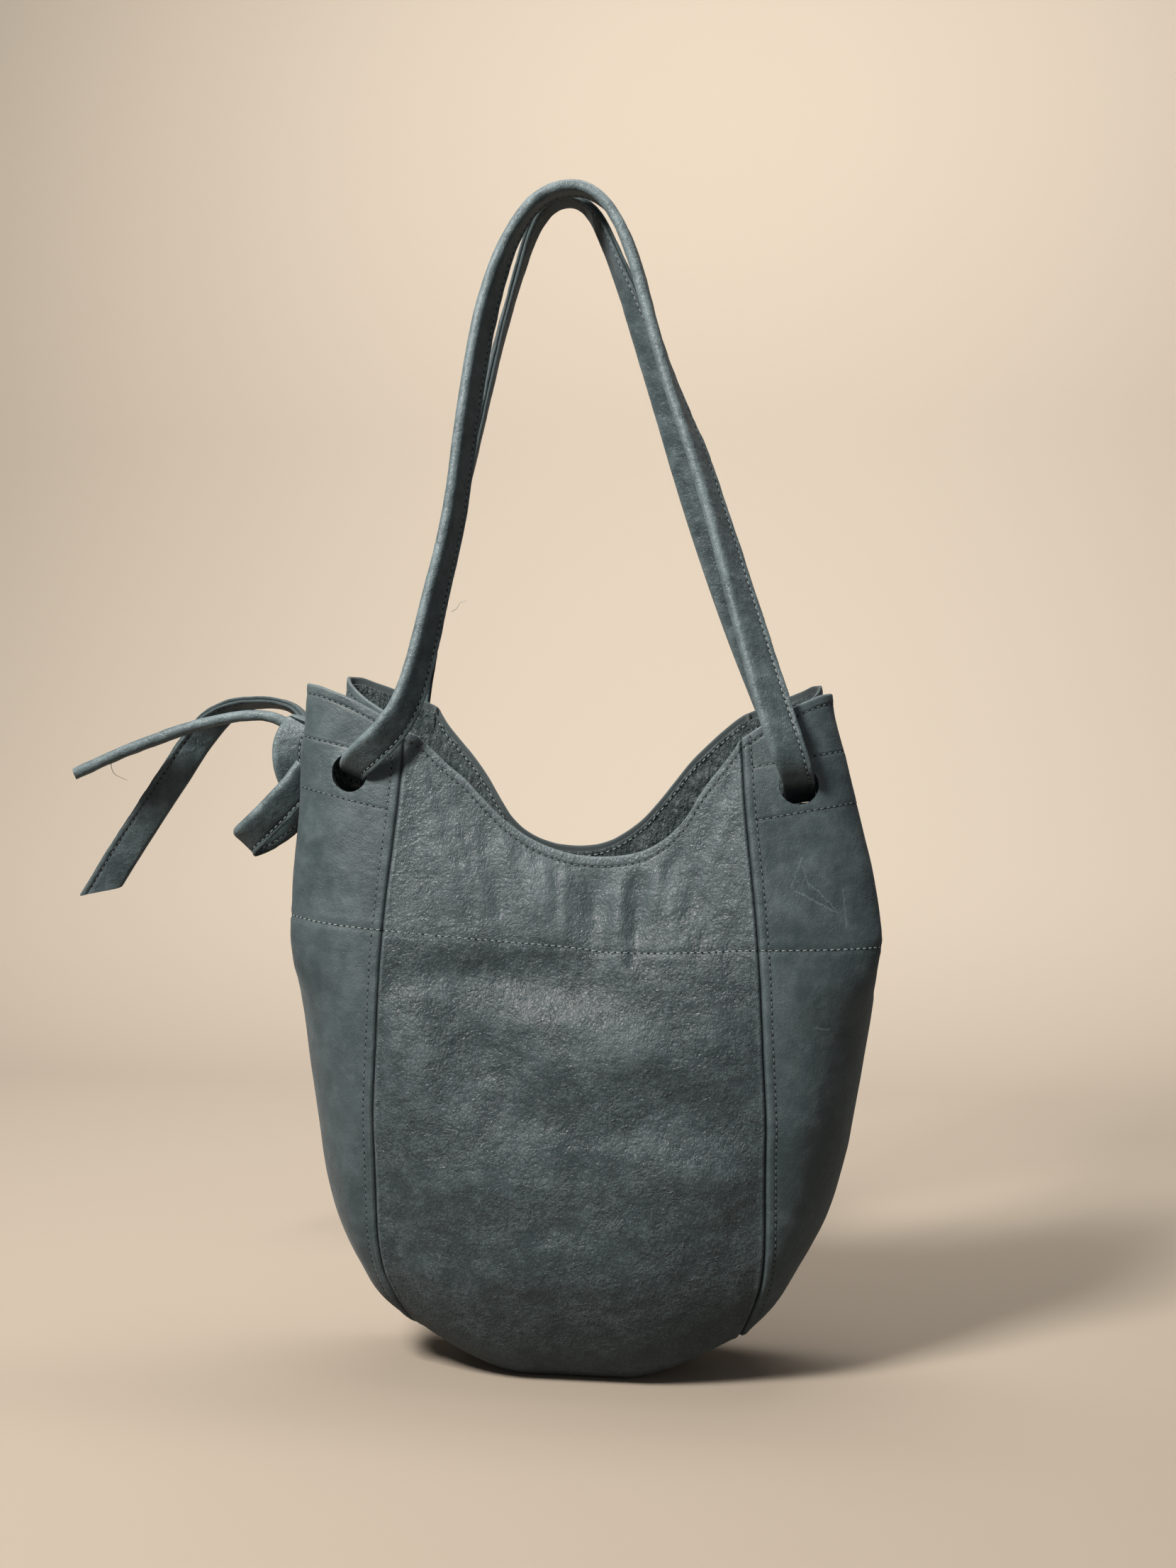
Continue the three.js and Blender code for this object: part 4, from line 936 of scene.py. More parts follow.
def gusset_fields(side):
    S, V = np.meshgrid(SS, GV)
    P0 = gusset_point(side, S, V)
    N0 = gusset_normal(side, S, V)
    dl, dr, dtop, _ = grid_dist(P0)
    d = np.minimum(dl, dr)
    nf, nbk = seam_normal(side, -1, GV), seam_normal(side, 1, GV)
    k = smooth(0, 6, dl)[..., None]
    N1 = unit(lerp(np.broadcast_to(nf[:, None], N0.shape), N0, k))
    k = smooth(0, 6, dr)[..., None]
    N1 = unit(lerp(np.broadcast_to(nbk[:, None], N0.shape), N1, k))
    x, z = P0[..., 0], P0[..., 2]
    SP = sag(P0)
    ring = SP[..., 2] - RING(x)
    a = 1 - np.abs(S)
    hi = 342.5 + 0.21 * (np.abs(x) - 125)
    lo = 313.8 + 0.21 * (np.abs(x) - 125)
    c1, c2 = z - hi, z - lo
    in6 = (d > 6.0)
    arc = dl
    sd = 10 if side < 0 else 20
    inner = smooth(5, 16, d)
    noise = 0.75 * fbm(arc / 40 + sd, z / 46, 11, 2) + 0.2 * fbm(arc / 14 + sd, z / 15, 12, 3)
    puck = 0.2 * vnoise(arc / 2.7 + sd, z / 30, 13) * (np.exp(-np.abs(ring) / 6) + 0.6 * np.exp(-np.abs(c1) / 5) + 0.6 * np.exp(-np.abs(c2) / 5))
    low = smooth(20, 60, z)
    # soft dents on the flank, and a slight bulge over the line round the bag
    flank = 0.9 * gauss(z - 290, 18) * gauss(a - 0.3, 0.12) - 0.8 * gauss(z - 205, 14) * gauss(a - 0.28, 0.14)
    flank = flank + 0.6 * gauss(z - 110, 18) * gauss(a - 0.3, 0.15)
    hole_r = np.hypot(np.abs(x) - HOLE_X, z - HOLE_Z)
    pull = 0.8 * gauss(hole_r - 10.5, 3.0) * smooth(325, 336, z)
    disp = (noise * lerp(0.9, 0.25, smooth(0.35, 0.6, a)) + flank) * inner * low * smooth(3, 12, dtop) + puck * smooth(1, 6, d) + pull
    disp = disp + seam_sink(d, 0.45) - 0.12 * gauss(d - 6.1, 0.8) + hem(dtop)
    disp = disp - 0.5 * gauss(ring, 0.9) + 0.3 * gauss(ring - 3, 2.2) + 0.25 * gauss(ring + 3, 2.2)
    disp = disp - in6 * (0.42 * gauss(c1, 0.8) + 0.42 * gauss(c2, 0.8)) + in6 * 0.25 * smooth(-2.5, -0.5, -c2 * 0 + np.minimum(c2, -c1)) * 1.0
    P1 = P0 + N1 * disp[..., None]
    T = 1.8 + 0.3 * (1 - smooth(4.5, 7.5, dtop))
    st = np.minimum.reduce([np.abs(dtop - 4.6), np.abs(ring), np.abs(d - 6.1), np.where(in6, np.abs(c1), 50), np.where(in6, np.abs(c2), 50)])
    foldline = gauss(np.abs(S) - 0.5, 0.035) * smooth(240, 320, z)
    wear = np.clip(0.36 * gauss(dtop, 0.8) + 0.24 * gauss(d - 2.0, 1.0) + 0.35 * foldline + 0.4 * gauss(hole_r - 10.5, 1.4)
                   + 0.12 * gauss(np.abs(S), 0.5) * (1 - smooth(150, 260, z)), 0, 1)
    # painted shade in the crease of the seams
    tint = np.clip(0.95 * gauss(d, 0.62), 0, 1)
    return dict(P=P1, P0=P0, N=N1, T=T, st=st, wear=wear, tint=tint, d=d, dl=dl, dr=dr, dtop=dtop, ring=ring, c1=c1, c2=c2, S=S, V=V)


INNER_HOLE = {-1: (HOLE_Z, HOLE_R), 1: (320.8, 9.4)}       # inner layers, before the sag


def hole_list(side, S, r=HOLE_R):
    iz, ir = INNER_HOLE[side]
    ir = ir + r - HOLE_R
    return [(side * HOLE_X, z, q, (S > lo) & (S < hi)) for lo, hi, z, q in (
        (-0.97, -0.5, HOLE_Z, r), (-0.5, -0.03, iz, ir), (0.03, 0.5, iz, ir), (0.5, 0.97, HOLE_Z, r))]


def gusset_stitches(g, side):
    P, G = sag(g["P"]), None
    Nn = grid_normals(P)
    Nn = np.where(((Nn * g["N"]).sum(-1) < 0)[..., None], -Nn, Nn)
    R, C = P.shape[:2]
    rows = []
    # down both seams
    ri = np.arange(3, R - 1).astype(float)
    for D, rev in ((g["dl"], False), (g["dr"], True)):
        cc = []
        for i in ri.astype(int):
            if rev:
                cc.append(C - 1 - np.interp(6.1, D[i, ::-1], np.arange(C)))
            else:
                cc.append(np.interp(6.1, D[i], np.arange(C)))
        ok = (D[ri.astype(int)].max(1) > 22)
        rows.append(row_of(P, Nn, ri[ok], np.array(cc)[ok]))
    rows.append(row_of(P, Nn, *line_const_row(g["dtop"], 4.6, 3, C - 4, (0, R - 1))))
    light = [row_of(P, Nn, *line_const_row(-g["ring"], 0.0, 2, C - 3, (0, R - 1)))]
    c0 = int(np.argmax(g["dl"][20] > 6.3))
    c1 = int(C - 1 - np.argmax(g["dr"][20][::-1] > 6.3))
    for key in ("c1", "c2"):
        rows.append(row_of(P, Nn, *line_const_row(-g[key], 0.0, c0, c1, (0, R - 1))))
    return rows, light


G = {}
for side, word in ((-1, "left"), (1, "right")):
    g = gusset_fields(side)
    G[side] = g
    ob = sheet(word + "_gusset_leather", g["P"], g["N"], g["T"], [M_GUSSET, M_FLESH, M_EDGE],
               {"stitch_d": g["st"], "wear": g["wear"], "tint": g["tint"]}, holes=hole_list(side, g["S"]), rim_mat=2, transform=sag)
    done(ob, replaces=(word + "_gusset",))
    dark_rows, light_rows = gusset_stitches(g, side)
    done(stitch_mesh(word + "_gusset_stitches", dark_rows, M_THREAD_SHADED, length=2.5, radius=0.33, lift=0.04))
    done(stitch_mesh(word + "_gusset_ring_stitches", light_rows, M_THREAD_LIT, length=2.6, radius=0.33, lift=0.06))


# =============================================================== facings and bands inside
def resample(vals, n):
    return np.interp(np.linspace(0, 1, n), np.linspace(0, 1, len(vals)), vals)


def facing_body(face, word):
    us = -1 + 2 * edge_list(208, 1.25, edge=[0.3, 1.2, 2.2, 3.6, 5.4]) / 208
    n = 72
    t = np.linspace(0, 1, n)
    vv = np.linspace(0, 0.75, 400)
    top = 0.0075
    U = np.tile(us, (n, 1))
    V = np.zeros_like(U)
    for j, u in enumerate(us):
        p = sag(body_point(np.full(400, u), face * (1 - vv)))
        vr = np.interp(0, -(p[:, 2] - RING(p[:, 0]) + 1.5), vv)
        V[:, j] = top + (vr - top) * t
    Wg = face * (1 - V)
    P0, N0 = body_point(U, Wg), body_normal(U, Wg)
    _, _, dtop, dbot = grid_dist(P0)
    x, z = P0[..., 0], P0[..., 2]
    s = 3 if face < 0 else 4
    slack = smooth(3, 16, dtop) * smooth(1, 12, dbot)
    arc = grid_dist(P0)[0]
    turn = 0.6 * vnoise(arc / 26, dtop / 11, 40 * s)
    crimp = vnoise(arc / 2.5 + turn, dtop / 9.0 + s, 41 * s) + 0.55 * vnoise(arc / 1.35 + turn * 2, dtop / 6.0, 43 * s)
    deep = smooth(3.2, 7.0, dtop) * smooth(1, 12, dbot)
    near = 0.35 * smooth(0.6, 2.6, dtop) * (1 - smooth(2.6, 6, dtop))
    wr = (1.0 * crimp * lerp(1.0, 0.55, smooth(14, 40, dtop)) + 1.1 * vnoise(x / 22, z / 18, 44 * s)) * deep + crimp * near
    # hangs into the bag a little, never through the panel
    off = -(2.15 + 0.9 * slack) - 0.85 * np.abs(wr)
    P1 = P0 + N0 * (off - 1.0)[..., None]         # inner face of the facing looks into the bag
    st = np.minimum(np.abs(dtop - 2.0), 30)
    wear = np.clip(0.45 * smooth(0.5, 1.6, np.abs(wr)) + 0.3 * gauss(dtop, 1.0), 0, 1)
    ob = sheet(word + "_facing_leather", sag(P1), -N0, 1.0, [M_FACING, M_FLESH], {"stitch_d": st, "wear": wear, "tint": np.zeros_like(st)})
    done(ob, replaces=(word + "_facing",))
    Pq = sag(P1)
    r, c = line_const_row(dtop, 2.0, 2, U.shape[1] - 3, (0, n - 1))
    return row_of(Pq, -N0, r, c)


face_rows = [facing_body(-1, "front"), facing_body(1, "back")]


def facing_gusset(side, word):
    ss = SS[(np.abs(SS) < 0.996)]
    n = 44
    t = np.linspace(0, 1, n)
    vv = np.linspace(0, 0.8, 400)
    Sg = np.tile(ss, (n, 1))
    V = np.zeros_like(Sg)
    for j, s in enumerate(ss):
        p = sag(gusset_point(side, np.full(400, s), vv))
        vr = np.interp(0, -(p[:, 2] - RING(p[:, 0]) + 1.5), vv)
        V[:, j] = 0.009 + (vr - 0.009) * t
    P0, N0 = gusset_point(side, Sg, V), gusset_normal(side, Sg, V)
    _, _, dtop, dbot = grid_dist(P0)
    arc = grid_dist(P0)[0]
    wr = np.abs(vnoise(arc / 2.8, dtop / 9, 55 + side) + 0.6 * vnoise(arc / 1.7, dtop / 5, 58 + side)) * smooth(1.5, 7, dtop) * smooth(1, 10, dbot)
    P1 = P0 - N0 * (4.4 + 0.9 * wr)[..., None]
    st = np.abs(dtop - 1.6)
    ob = sheet(word + "_gusset_facing_leather", P1, -N0, 1.0, [M_FACING, M_FLESH, M_EDGE],
               {"stitch_d": st, "wear": 0.4 * smooth(0.4, 1.3, wr), "tint": np.zeros_like(st)},
               holes=hole_list(side, Sg, HOLE_R + 0.4), rim_mat=2, transform=sag)
    done(ob, replaces=(word + "_gusset_facing",))
    # reinforcement band between gusset and facing
    n = 24
    t = np.linspace(0, 1, n)
    V = np.zeros((n, len(ss)))
    Sg = np.tile(ss, (n, 1))
    for j, s in enumerate(ss):
        p = gusset_point(side, np.full(400, s), vv)
        k = np.abs(p[:, 0]) - 125
        a = np.interp(0, -(p[:, 2] - (344 + 0.21 * k)), vv)
        b = np.interp(0, -(p[:, 2] - (312.5 + 0.21 * k)), vv)
        V[:, j] = a + (b - a) * t
    P0, N0 = gusset_point(side, Sg, V), gusset_normal(side, Sg, V)
    P1 = P0 - N0 * 2.15
    z0 = np.full(P0.shape[:2], 30.0)
    ob = sheet(word + "_hole_band_leather", P1, N0, 0.9, [M_FLESH, M_FLESH, M_EDGE], {"stitch_d": z0, "wear": z0 * 0, "tint": z0 * 0},
               holes=hole_list(side, Sg, HOLE_R + 0.25), rim_mat=2, transform=sag)
    done(ob, replaces=(word + "_hole_band",))
    Pq = sag(gusset_point(side, *np.meshgrid(ss, [0.02])))
    return None


for side, word in ((-1, "left"), (1, "right")):
    facing_gusset(side, word)
done(stitch_mesh("facing_stitches", face_rows, M_THREAD_LIT, length=2.6, radius=0.34, lift=0.12))


# =============================================================== straps
def profile():
    """folded strap section: round fold at -9.5, two cut edges with a gap at +9.5; returns a, b, is_edge, stitch distance"""
    top = [(-6.3 - 3.15 * math.cos(t), 3.15 * math.sin(t)) for t in np.radians([0, 14, 28, 42, 56, 70, 84])]
    top += [(-5.0, 3.12), (-3.4, 2.98), (-1.6, 2.78), (0.2, 2.55), (2.0, 2.32), (3.6, 2.12), (4.8, 1.95), (5.6, 1.80), (6.15, 1.62),
            (6.5, 1.50), (6.85, 1.62), (7.4, 1.80), (8.1, 1.90), (8.8, 1.88), (9.25, 1.74), (9.45, 1.42), (9.5, 1.0),
            (9.42, 0.55), (9.1, 0.2)]
    full = top + [(8.6, 0.0)] + [(a, -b) for a, b in top[::-1][:-1]]
    arr = np.array(full)
    edge = (arr[:, 0] > 9.3) | ((arr[:, 0] > 8.4) & (np.abs(arr[:, 1]) < 0.7))
    return arr[:, 0], arr[:, 1], edge, np.abs(arr[:, 0] - 6.5)


PA, PB, PE, PS = profile()


def smooth_line(a, sigma):
    """gaussian smoothing along the first axis, with the ends held"""
    if sigma <= 0:
        return a
    r = int(sigma * 3)
    k = np.exp(-0.5 * (np.arange(-r, r + 1) / sigma) ** 2)
    k /= k.sum()
    pad = np.concatenate([2 * a[0] - a[1:r + 1][::-1], a, 2 * a[-1] - a[-r - 1:-1][::-1]])
    return np.stack([np.convolve(pad[:, i], k, mode="valid") for i in range(a.shape[1])], 1)


def strap_path(stations, step=2.0, sigma=6.0):
    st = np.array(stations, float)
    seg = np.linalg.norm(np.diff(st[:, :3], axis=0), axis=1)
    t = np.concatenate([[0], np.cumsum(seg)])
    f = Pchip(t, st)
    tt = np.linspace(0, t[-1], max(8, int(t[-1])))
    a = f(tt)
    a[:, 3:6] = unit(a[:, 3:6])
    a = smooth_line(a, sigma)
    s = np.concatenate([[0], np.cumsum(np.linalg.norm(np.diff(a[:, :3], axis=0), axis=1))])
    n = max(6, int(round(s[-1] / step)))
    q = np.linspace(0, s[-1], n + 1)
    a = np.stack([np.interp(q, s, a[:, i]) for i in range(a.shape[1])], 1)
    P = a[:, :3]
    d = unit(np.gradient(P, axis=0))
    w = a[:, 3:6]
    w = unit(w - (w * d).sum(1, keepdims=True) * d)
    h = np.cross(d, w)
    return dict(P=P, d=d, w=w, h=h, W=a[:, 6] / 19.0, s=q, curl=a[:, 7] if a.shape[1] > 7 else np.zeros(len(P)))


def strap_mesh(name, path, seed=0, slant0=0.0, slant1=0.0, mats=None, wobble=1.0, squeeze=None):
    P, d, w, h, W, s = (path[k] for k in ("P", "d", "w", "h", "W", "s"))
    n, m = len(P), len(PA)
    S = s[:, None]
    A = PA[None, :] * W[:, None]
    Bv = np.broadcast_to(PB[None, :], (n, m)).copy()
    if squeeze is not None:
        Bv = Bv * squeeze[:, None]
    # stitched edge wanders a little and the faces are softly uneven
    open_side = smooth(2, 9.5, PA)[None, :]
    A = A + wobble * open_side * (0.22 * vnoise(S / 9 + seed * 13, np.zeros_like(S) + seed, 71) + 0.12 * vnoise(S / 2.3, S * 0 + seed, 72))
    Bv = Bv + wobble * np.sign(PB)[None, :] * (0.16 * vnoise(S / 7 + seed * 5, PA[None, :] / 7 + np.sign(PB)[None, :] * 9, 73)
                                              + 0.07 * vnoise(S / 2.2 + seed, PA[None, :] / 3 + np.sign(PB)[None, :] * 5, 74))
    Bv = Bv + (path["curl"][:, None]) * ((PA[None, :] / 9.5) ** 2 - 0.35)
    # pinch between stitches
    ph = np.cos(2 * math.pi * S / 3.7)
    Bv = Bv - np.sign(PB)[None, :] * 0.10 * (1 + ph) * gauss(PS[None, :], 1.0)
    shift = np.zeros((n, m))
    if slant0:
        shift += -slant0 * (PA[None, :] / 9.5) * np.clip(1 - S / 16, 0, 1)
    if slant1:
        shift += slant1 * (PA[None, :] / 9.5) * np.clip(1 - (s[-1] - S) / 16, 0, 1)
    V = P[:, None] + w[:, None] * A[..., None] + h[:, None] * Bv[..., None] + d[:, None] * shift[..., None]
    b = Builder()
    sdist = np.broadcast_to(PS[None, :], (n, m))
    wear = np.clip(0.55 * gauss(PA + 9.0, 2.6)[None, :] + 0.25 * gauss(PA - 8.3, 1.0)[None, :] + 0 * S, 0, 1)
    idx = b.add(V, stitch_d=sdist, wear=wear, tint=np.zeros((n, m))).reshape(n, m)
    q = np.stack([idx[:-1], np.roll(idx, -1, 1)[:-1], np.roll(idx, -1, 1)[1:], idx[1:]], -1)
    e = PE & np.roll(PE, -1)
    b.quads(q[:, ~e], 0)
    b.quads(q[:, e], 1)
    for ring, flip in ((idx[0], True), (idx[-1], False)):
        c = V[0 if flip else -1].mean(0)
        ci = b.add([c], stitch_d=20.0)[0]
        tri = np.stack([ring, np.roll(ring, -1), np.full(m, ci)], 1)
        b.tris(tri[:, ::-1] if flip else tri, 1)
    ob = b.build(name, mats or [M_STRAP, M_EDGE], sharp=48)
    rows = []
    for sg in (1, -1):
        ww = (6.5 * W)[:, None]
        base = P + w * ww + h * (sg * 1.46 + (path["curl"] * ((6.5 / 9.5) ** 2 - 0.35)))[:, None]
        rows.append((base, h * sg))
    return ob, rows


W = 19.0
FRONT_HANDLE = [
    [-122.2, -34, 332.5, 0.85, 0.1, -0.5, 17.2], [-121.8, -41, 333.0, 0.75, 0.2, -0.6, 17.4], [-119, -48, 335.2, 0.62, 0.25, -0.72, 17.8],
    [-111, -53.5, 341.3, 0.60, 0.3, -0.68, 18.6], [-98.5, -56.0, 352, 0.60, 0.45, -0.5, W], [-88.5, -53, 367.5, 0.60, 0.65, -0.3, W],
    [-82.2, -47, 391, 0.55, 0.8, 0, W], [-76.2, -40, 423, 0.48, 0.86, 0, W],
    [-66.4, -31, 474, 0.40, 0.92, 0, W], [-59.8, -24.5, 531.4, 0.40, 0.92, 0, W],
    [-52.2, -19, 582.8, 0.38, 0.92, 0, W], [-45.8, -16, 608.7, 0.30, 0.95, 0, W],
    [-35.7, -14, 634.2, 0.1, 1, 0, W], [-23.5, -12, 651.4, 0, 1, 0, W],
    [-8, -12, 658, 0, 1, 0, W], [3, -12, 657.6, 0, 1, 0, W],
    [13.2, -12, 650.9, 0, 1, 0, W], [20, -12, 643.5, 0.1, 1, 0, W], [25.7, -13, 633.4, 0.15, 0.98, 0, W],
    [33.7, -14, 610.8, 0.12, 0.99, 0, W], [43.3, -16, 575, 0.1, 1, 0, W],
    [55.8, -20, 536.6, 0.3, 0.95, 0, W], [66, -24, 510.3, 0.46, 0.88, 0, W],
    [81.9, -32, 459.8, 0.62, 0.78, 0, W], [96.6, -41, 409.8, 0.86, 0.52, 0, W],
    [109, -49.5, 368.9, 0.98, 0.2, 0, W], [115.2, -53.5, 350, 1, 0.05, 0, W],
    [119.8, -53.0, 337.5, 1, 0, 0, 18.6], [122.0, -48, 329.8, 1, 0, 0, 18], [122.8, -41, 326.9, 1, 0, 0, 17.4], [122.8, -34, 326.3, 1, 0, 0, 17.2]]
BACK_HANDLE = [
    [-122.2, 34, 332.5, 0.85, -0.1, -0.5, 17.2], [-121.8, 41, 333.0, 0.75, -0.2, -0.6, 17.4], [-119.6, 48, 335.4, 0.7, -0.2, -0.68, 17.8],
    [-116, 54, 343, 0.8, -0.15, -0.5, 18.6], [-112, 56, 359, 0.9, -0.1, -0.3, W], [-108.3, 52, 381, 0.98, -0.15, 0, W],
    [-102, 46.5, 403, 0.85, -0.5, 0, W], [-90, 40.5, 444, 0.5, -0.87, 0, W],
    [-77, 34, 488.5, 0.3, -0.95, 0, W], [-63.6, 27, 536, 0.25, -0.97, 0, W],
    [-54, 22, 572, 0.22, -0.98, 0, W], [-47.8, 19, 593.5, 0.2, -0.98, 0, W],
    [-40.8, 16, 614.5, 0.15, -0.99, 0, W], [-32, 14, 640, 0.05, -1, 0, W],
    [-24.7, 12, 653.1, 0, -1, 0, W], [-16.8, 12, 659.7, 0, -1, 0, W],
    [-9.1, 12, 661.4, 0, -1, 0, W], [-2.5, 12, 659.4, 0.05, -1, 0, W],
    [3.6, 12, 653.9, 0.15, -0.99, 0, W], [10.2, 12, 643.1, 0.3, -0.95, 0, W],
    [17.3, 13, 626.1, 0.36, -0.93, 0, W], [24.4, 15, 608.2, 0.5, -0.87, 0, W],
    [37.5, 20, 570.2, 0.78, -0.62, 0, W], [49.2, 26, 532.5, 0.88, -0.48, 0, W],
    [61, 32, 493.7, 0.95, -0.3, 0, W], [76, 38.5, 448, 1, -0.1, 0, W],
    [89, 45, 411, 1, 0, 0, W], [102.5, 51.5, 376, 1, 0, 0, W], [112.5, 55.5, 350.5, 1, 0, 0, W],
    [118.5, 54.4, 337, 1, 0, 0, 18.6], [121.8, 48, 330, 1, 0, 0, 18], [122.8, 41, 326.9, 1, 0, 0, 17.4], [122.8, 34, 326.3, 1, 0, 0, 17.2]]

STITCH_BAG = []
hinge = {j["name"]: j for j in frame["joints"]}
for word, sta, sg in (("front", FRONT_HANDLE, -1), ("back", BACK_HANDLE, 1)):
    path = strap_path(sta, 2.0, 7.0)
    ob, rows = strap_mesh(word + "_handle_leather", path, seed=1 if sg < 0 else 2)
    done(ob, body=None, replaces=(word + "_handle_strap",))
    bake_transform(ob)
    st = stitch_mesh(word + "_handle_stitches", rows, M_THREAD_LIT, length=2.7, radius=0.3, lift=0.08)
    done(st, body=None)
    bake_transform(st)

# strap inside the right gusset, front hole to back hole
RIGHT_PASS = [[122.8, y, 317.6 + 8.7 * float(smooth(17, 36, abs(y))), 1, 0, 0, 17.2] for y in np.linspace(-36, 36, 19)]
path = strap_path(RIGHT_PASS, 2.0, 1.5)
ob, rows = strap_mesh("strap_right_pass_leather", path, seed=3)
done(ob, replaces=("strap_right_pass",))
STITCH_BAG += rows


def left_run(f):
    return [
        [-122.4, f * 35, 332.5, 0.85, f * -0.1, -0.5, 17.2], [-122.6, f * 26, 332.4, 0.5, 0, -0.8, 17.2], [-122.8, f * 17, 332.2, 0.1, 0, -1, 17.2],
        [-123.4, f * 10.5, 332.3, 0, 0, -1, 17.4], [-126.0, f * 6.3, 332.8, 0, 0, -1, 18],
        [-131, f * 4.6, 334, 0, 0, -1, W], [-144, f * 4.4, 338, 0, 0, -1, W], [-158, f * 4.8, 342.5, 0.1, 0, -1, W], [-166, f * 4.8, 345, 0.2, 0, -1, 17]]


for f, word in ((-1, "front"), (1, "back")):
    path = strap_path(left_run(f), 2.0, 2.5)
    ob, rows = strap_mesh("strap_left_%s_run_leather" % word, path, seed=4 + f)
    done(ob, replaces=("strap_left_%s_run" % word,))
    STITCH_BAG += rows

# knot: one turn of strap round the two runs, and a packed core
wrap = []
for i in range(28):
    a = math.radians(lerp(120, -236, i / 27))
    sn = math.sin(a)
    wrap.append([-167.8 + (8.2 if sn > 0 else 3.9) * sn * sn, 0.5 + 10 * math.cos(a), 343.5 + 19.5 * sn, 0.97, 0.05, 0.2 - 0.1 * sn, W])
path = strap_path(wrap, 1.5, 1.5)
path["curl"] = np.full(len(path["P"]), -1.2)
ob, rows = strap_mesh("knot_wrap_leather", path, seed=8, wobble=1.6)
done(ob, replaces=("bow_knot",))
STITCH_BAG += rows


def lump(name, c, r, seed, mats, crinkle=1.0, nu=48, nv=32):
    """packed strap folds inside the knot"""
    th = np.linspace(0, 2 * math.pi, nu, endpoint=False)
    ph = np.linspace(0, math.pi, nv)[1:-1]
    TH, PH = np.meshgrid(th, ph)
    k = 1 + crinkle * (0.10 * vnoise(4 * np.cos(TH) + seed, 5 * PH, 91) + 0.06 * np.sin(5 * PH + 2 * np.cos(TH)))
    X = c[0] + r[0] * k * np.sin(PH) * np.cos(TH)
    Y = c[1] + r[1] * k * np.sin(PH) * np.sin(TH)
    Z = c[2] + r[2] * k * np.cos(PH)
    b = Builder()
    # painted shade: the packed core is mixed 45 per cent towards near black, for the shade inside the knot
    idx = b.add(np.stack([X, Y, Z], -1), stitch_d=20.0, wear=0.1, tint=0.45).reshape(X.shape)
    t0 = b.add([[c[0], c[1], c[2] + r[2]]], stitch_d=20.0)[0]
    t1 = b.add([[c[0], c[1], c[2] - r[2]]], stitch_d=20.0)[0]
    nx = np.roll(idx, -1, 1)
    b.quads(np.stack([idx[:-1], idx[1:], nx[1:], nx[:-1]], -1))
    b.tris(np.stack([np.full(nu, t0), idx[0], nx[0]], -1))
    b.tris(np.stack([np.full(nu, t1), nx[-1], idx[-1]], -1))
    return b.build(name, mats)


ob = lump("knot_core_leather", (-165.8, 0.5, 343.5), (8.6, 8.4, 16.8), 3, [M_STRAP])
done(ob)

# bow loop: out of the knot, folded over, and back behind itself
BOW = [
    [-154.5, -13.2, 334.0, 0.56, 0.46, -0.66, 18], [-161.0, -15.2, 323.9, 0.56, 0.46, -0.66, W], [-169.1, -16.2, 314.9, 0.56, 0.46, -0.66, W],
    [-178.9, -16.0, 305.1, 0.56, 0.44, -0.68, W], [-187.2, -14.4, 297.7, 0.57, 0.4, -0.7, W],
    [-192.6, -10.8, 293.4, 0.6, 0.28, -0.74, 18.8], [-193.6, -5.0, 291.9, 0.62, 0.1, -0.76, 18.8],
    [-188.0, -0.6, 294.2, 0.62, 0, -0.78, 18.8], [-179, 0.4, 299.7, 0.6, 0, -0.8, W],
    [-169, -0.8, 307.1, 0.6, 0, -0.8, W], [-160, -2.6, 313.2, 0.6, 0, -0.8, W], [-155, -4.3, 321, 0.5, 0, -0.85, 18]]
path = strap_path(BOW, 1.6, 2.2)
ob, rows = strap_mesh("bow_loop_leather", path, seed=9, wobble=1.4)
done(ob, body=None, replaces=("bow_loop",))
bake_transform(ob)
st = stitch_mesh("bow_loop_stitches", rows, M_THREAD_LIT, length=2.6, radius=0.3, lift=0.08)
done(st, body=None)
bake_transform(st)

# tails
TAIL_A = [
    [-164, 1, 353, 0, 1, 0, 17], [-170, 0.6, 359.6, 0, 1, 0, 18], [-177, 0.2, 363.4, 0, 1, 0, W], [-187, 0, 365.2, 0, 1, 0, W],
    [-197, 0, 364.6, 0, 1, 0, W], [-216.3, 0, 361.3, 0, 1, 0, W], [-237, 0, 355.6, 0, 1, 0, W], [-255, 0, 349.4, 0, 1, 0.02, W],
    [-267, 0, 345.0, 0, 1, 0.04, W], [-289.4, 0, 335.8, 0, 1, 0.06, W], [-301, 0, 330.6, 0, 1, 0.08, W]]
TAIL_B = [
    [-161, 6, 355, 0.1, -0.6, 0.5, 17], [-165, 11, 362.5, 0.05, -0.9, 0.3, 17.5], [-172, 16.5, 369.3, 0, -0.99, 0.14, 18.5], [-181, 19.5, 373.0, 0, -0.99, 0.1, W],
    [-192, 22, 374.4, 0, -0.99, 0.1, W], [-204, 23.5, 373.6, -0.02, -0.98, 0.16, W], [-216, 24.5, 369.4, -0.22, -0.92, 0.3, W],
    [-230, 25.5, 357.5, -0.55, -0.7, 0.44, W], [-249.3, 26, 330.9, -0.7, -0.58, 0.44, W], [-266.4, 26, 306.0, -0.74, -0.54, 0.45, W],
    [-284.3, 26, 279.1, -0.76, -0.5, 0.46, W], [-295.6, 26, 261.4, -0.76, -0.5, 0.46, W]]
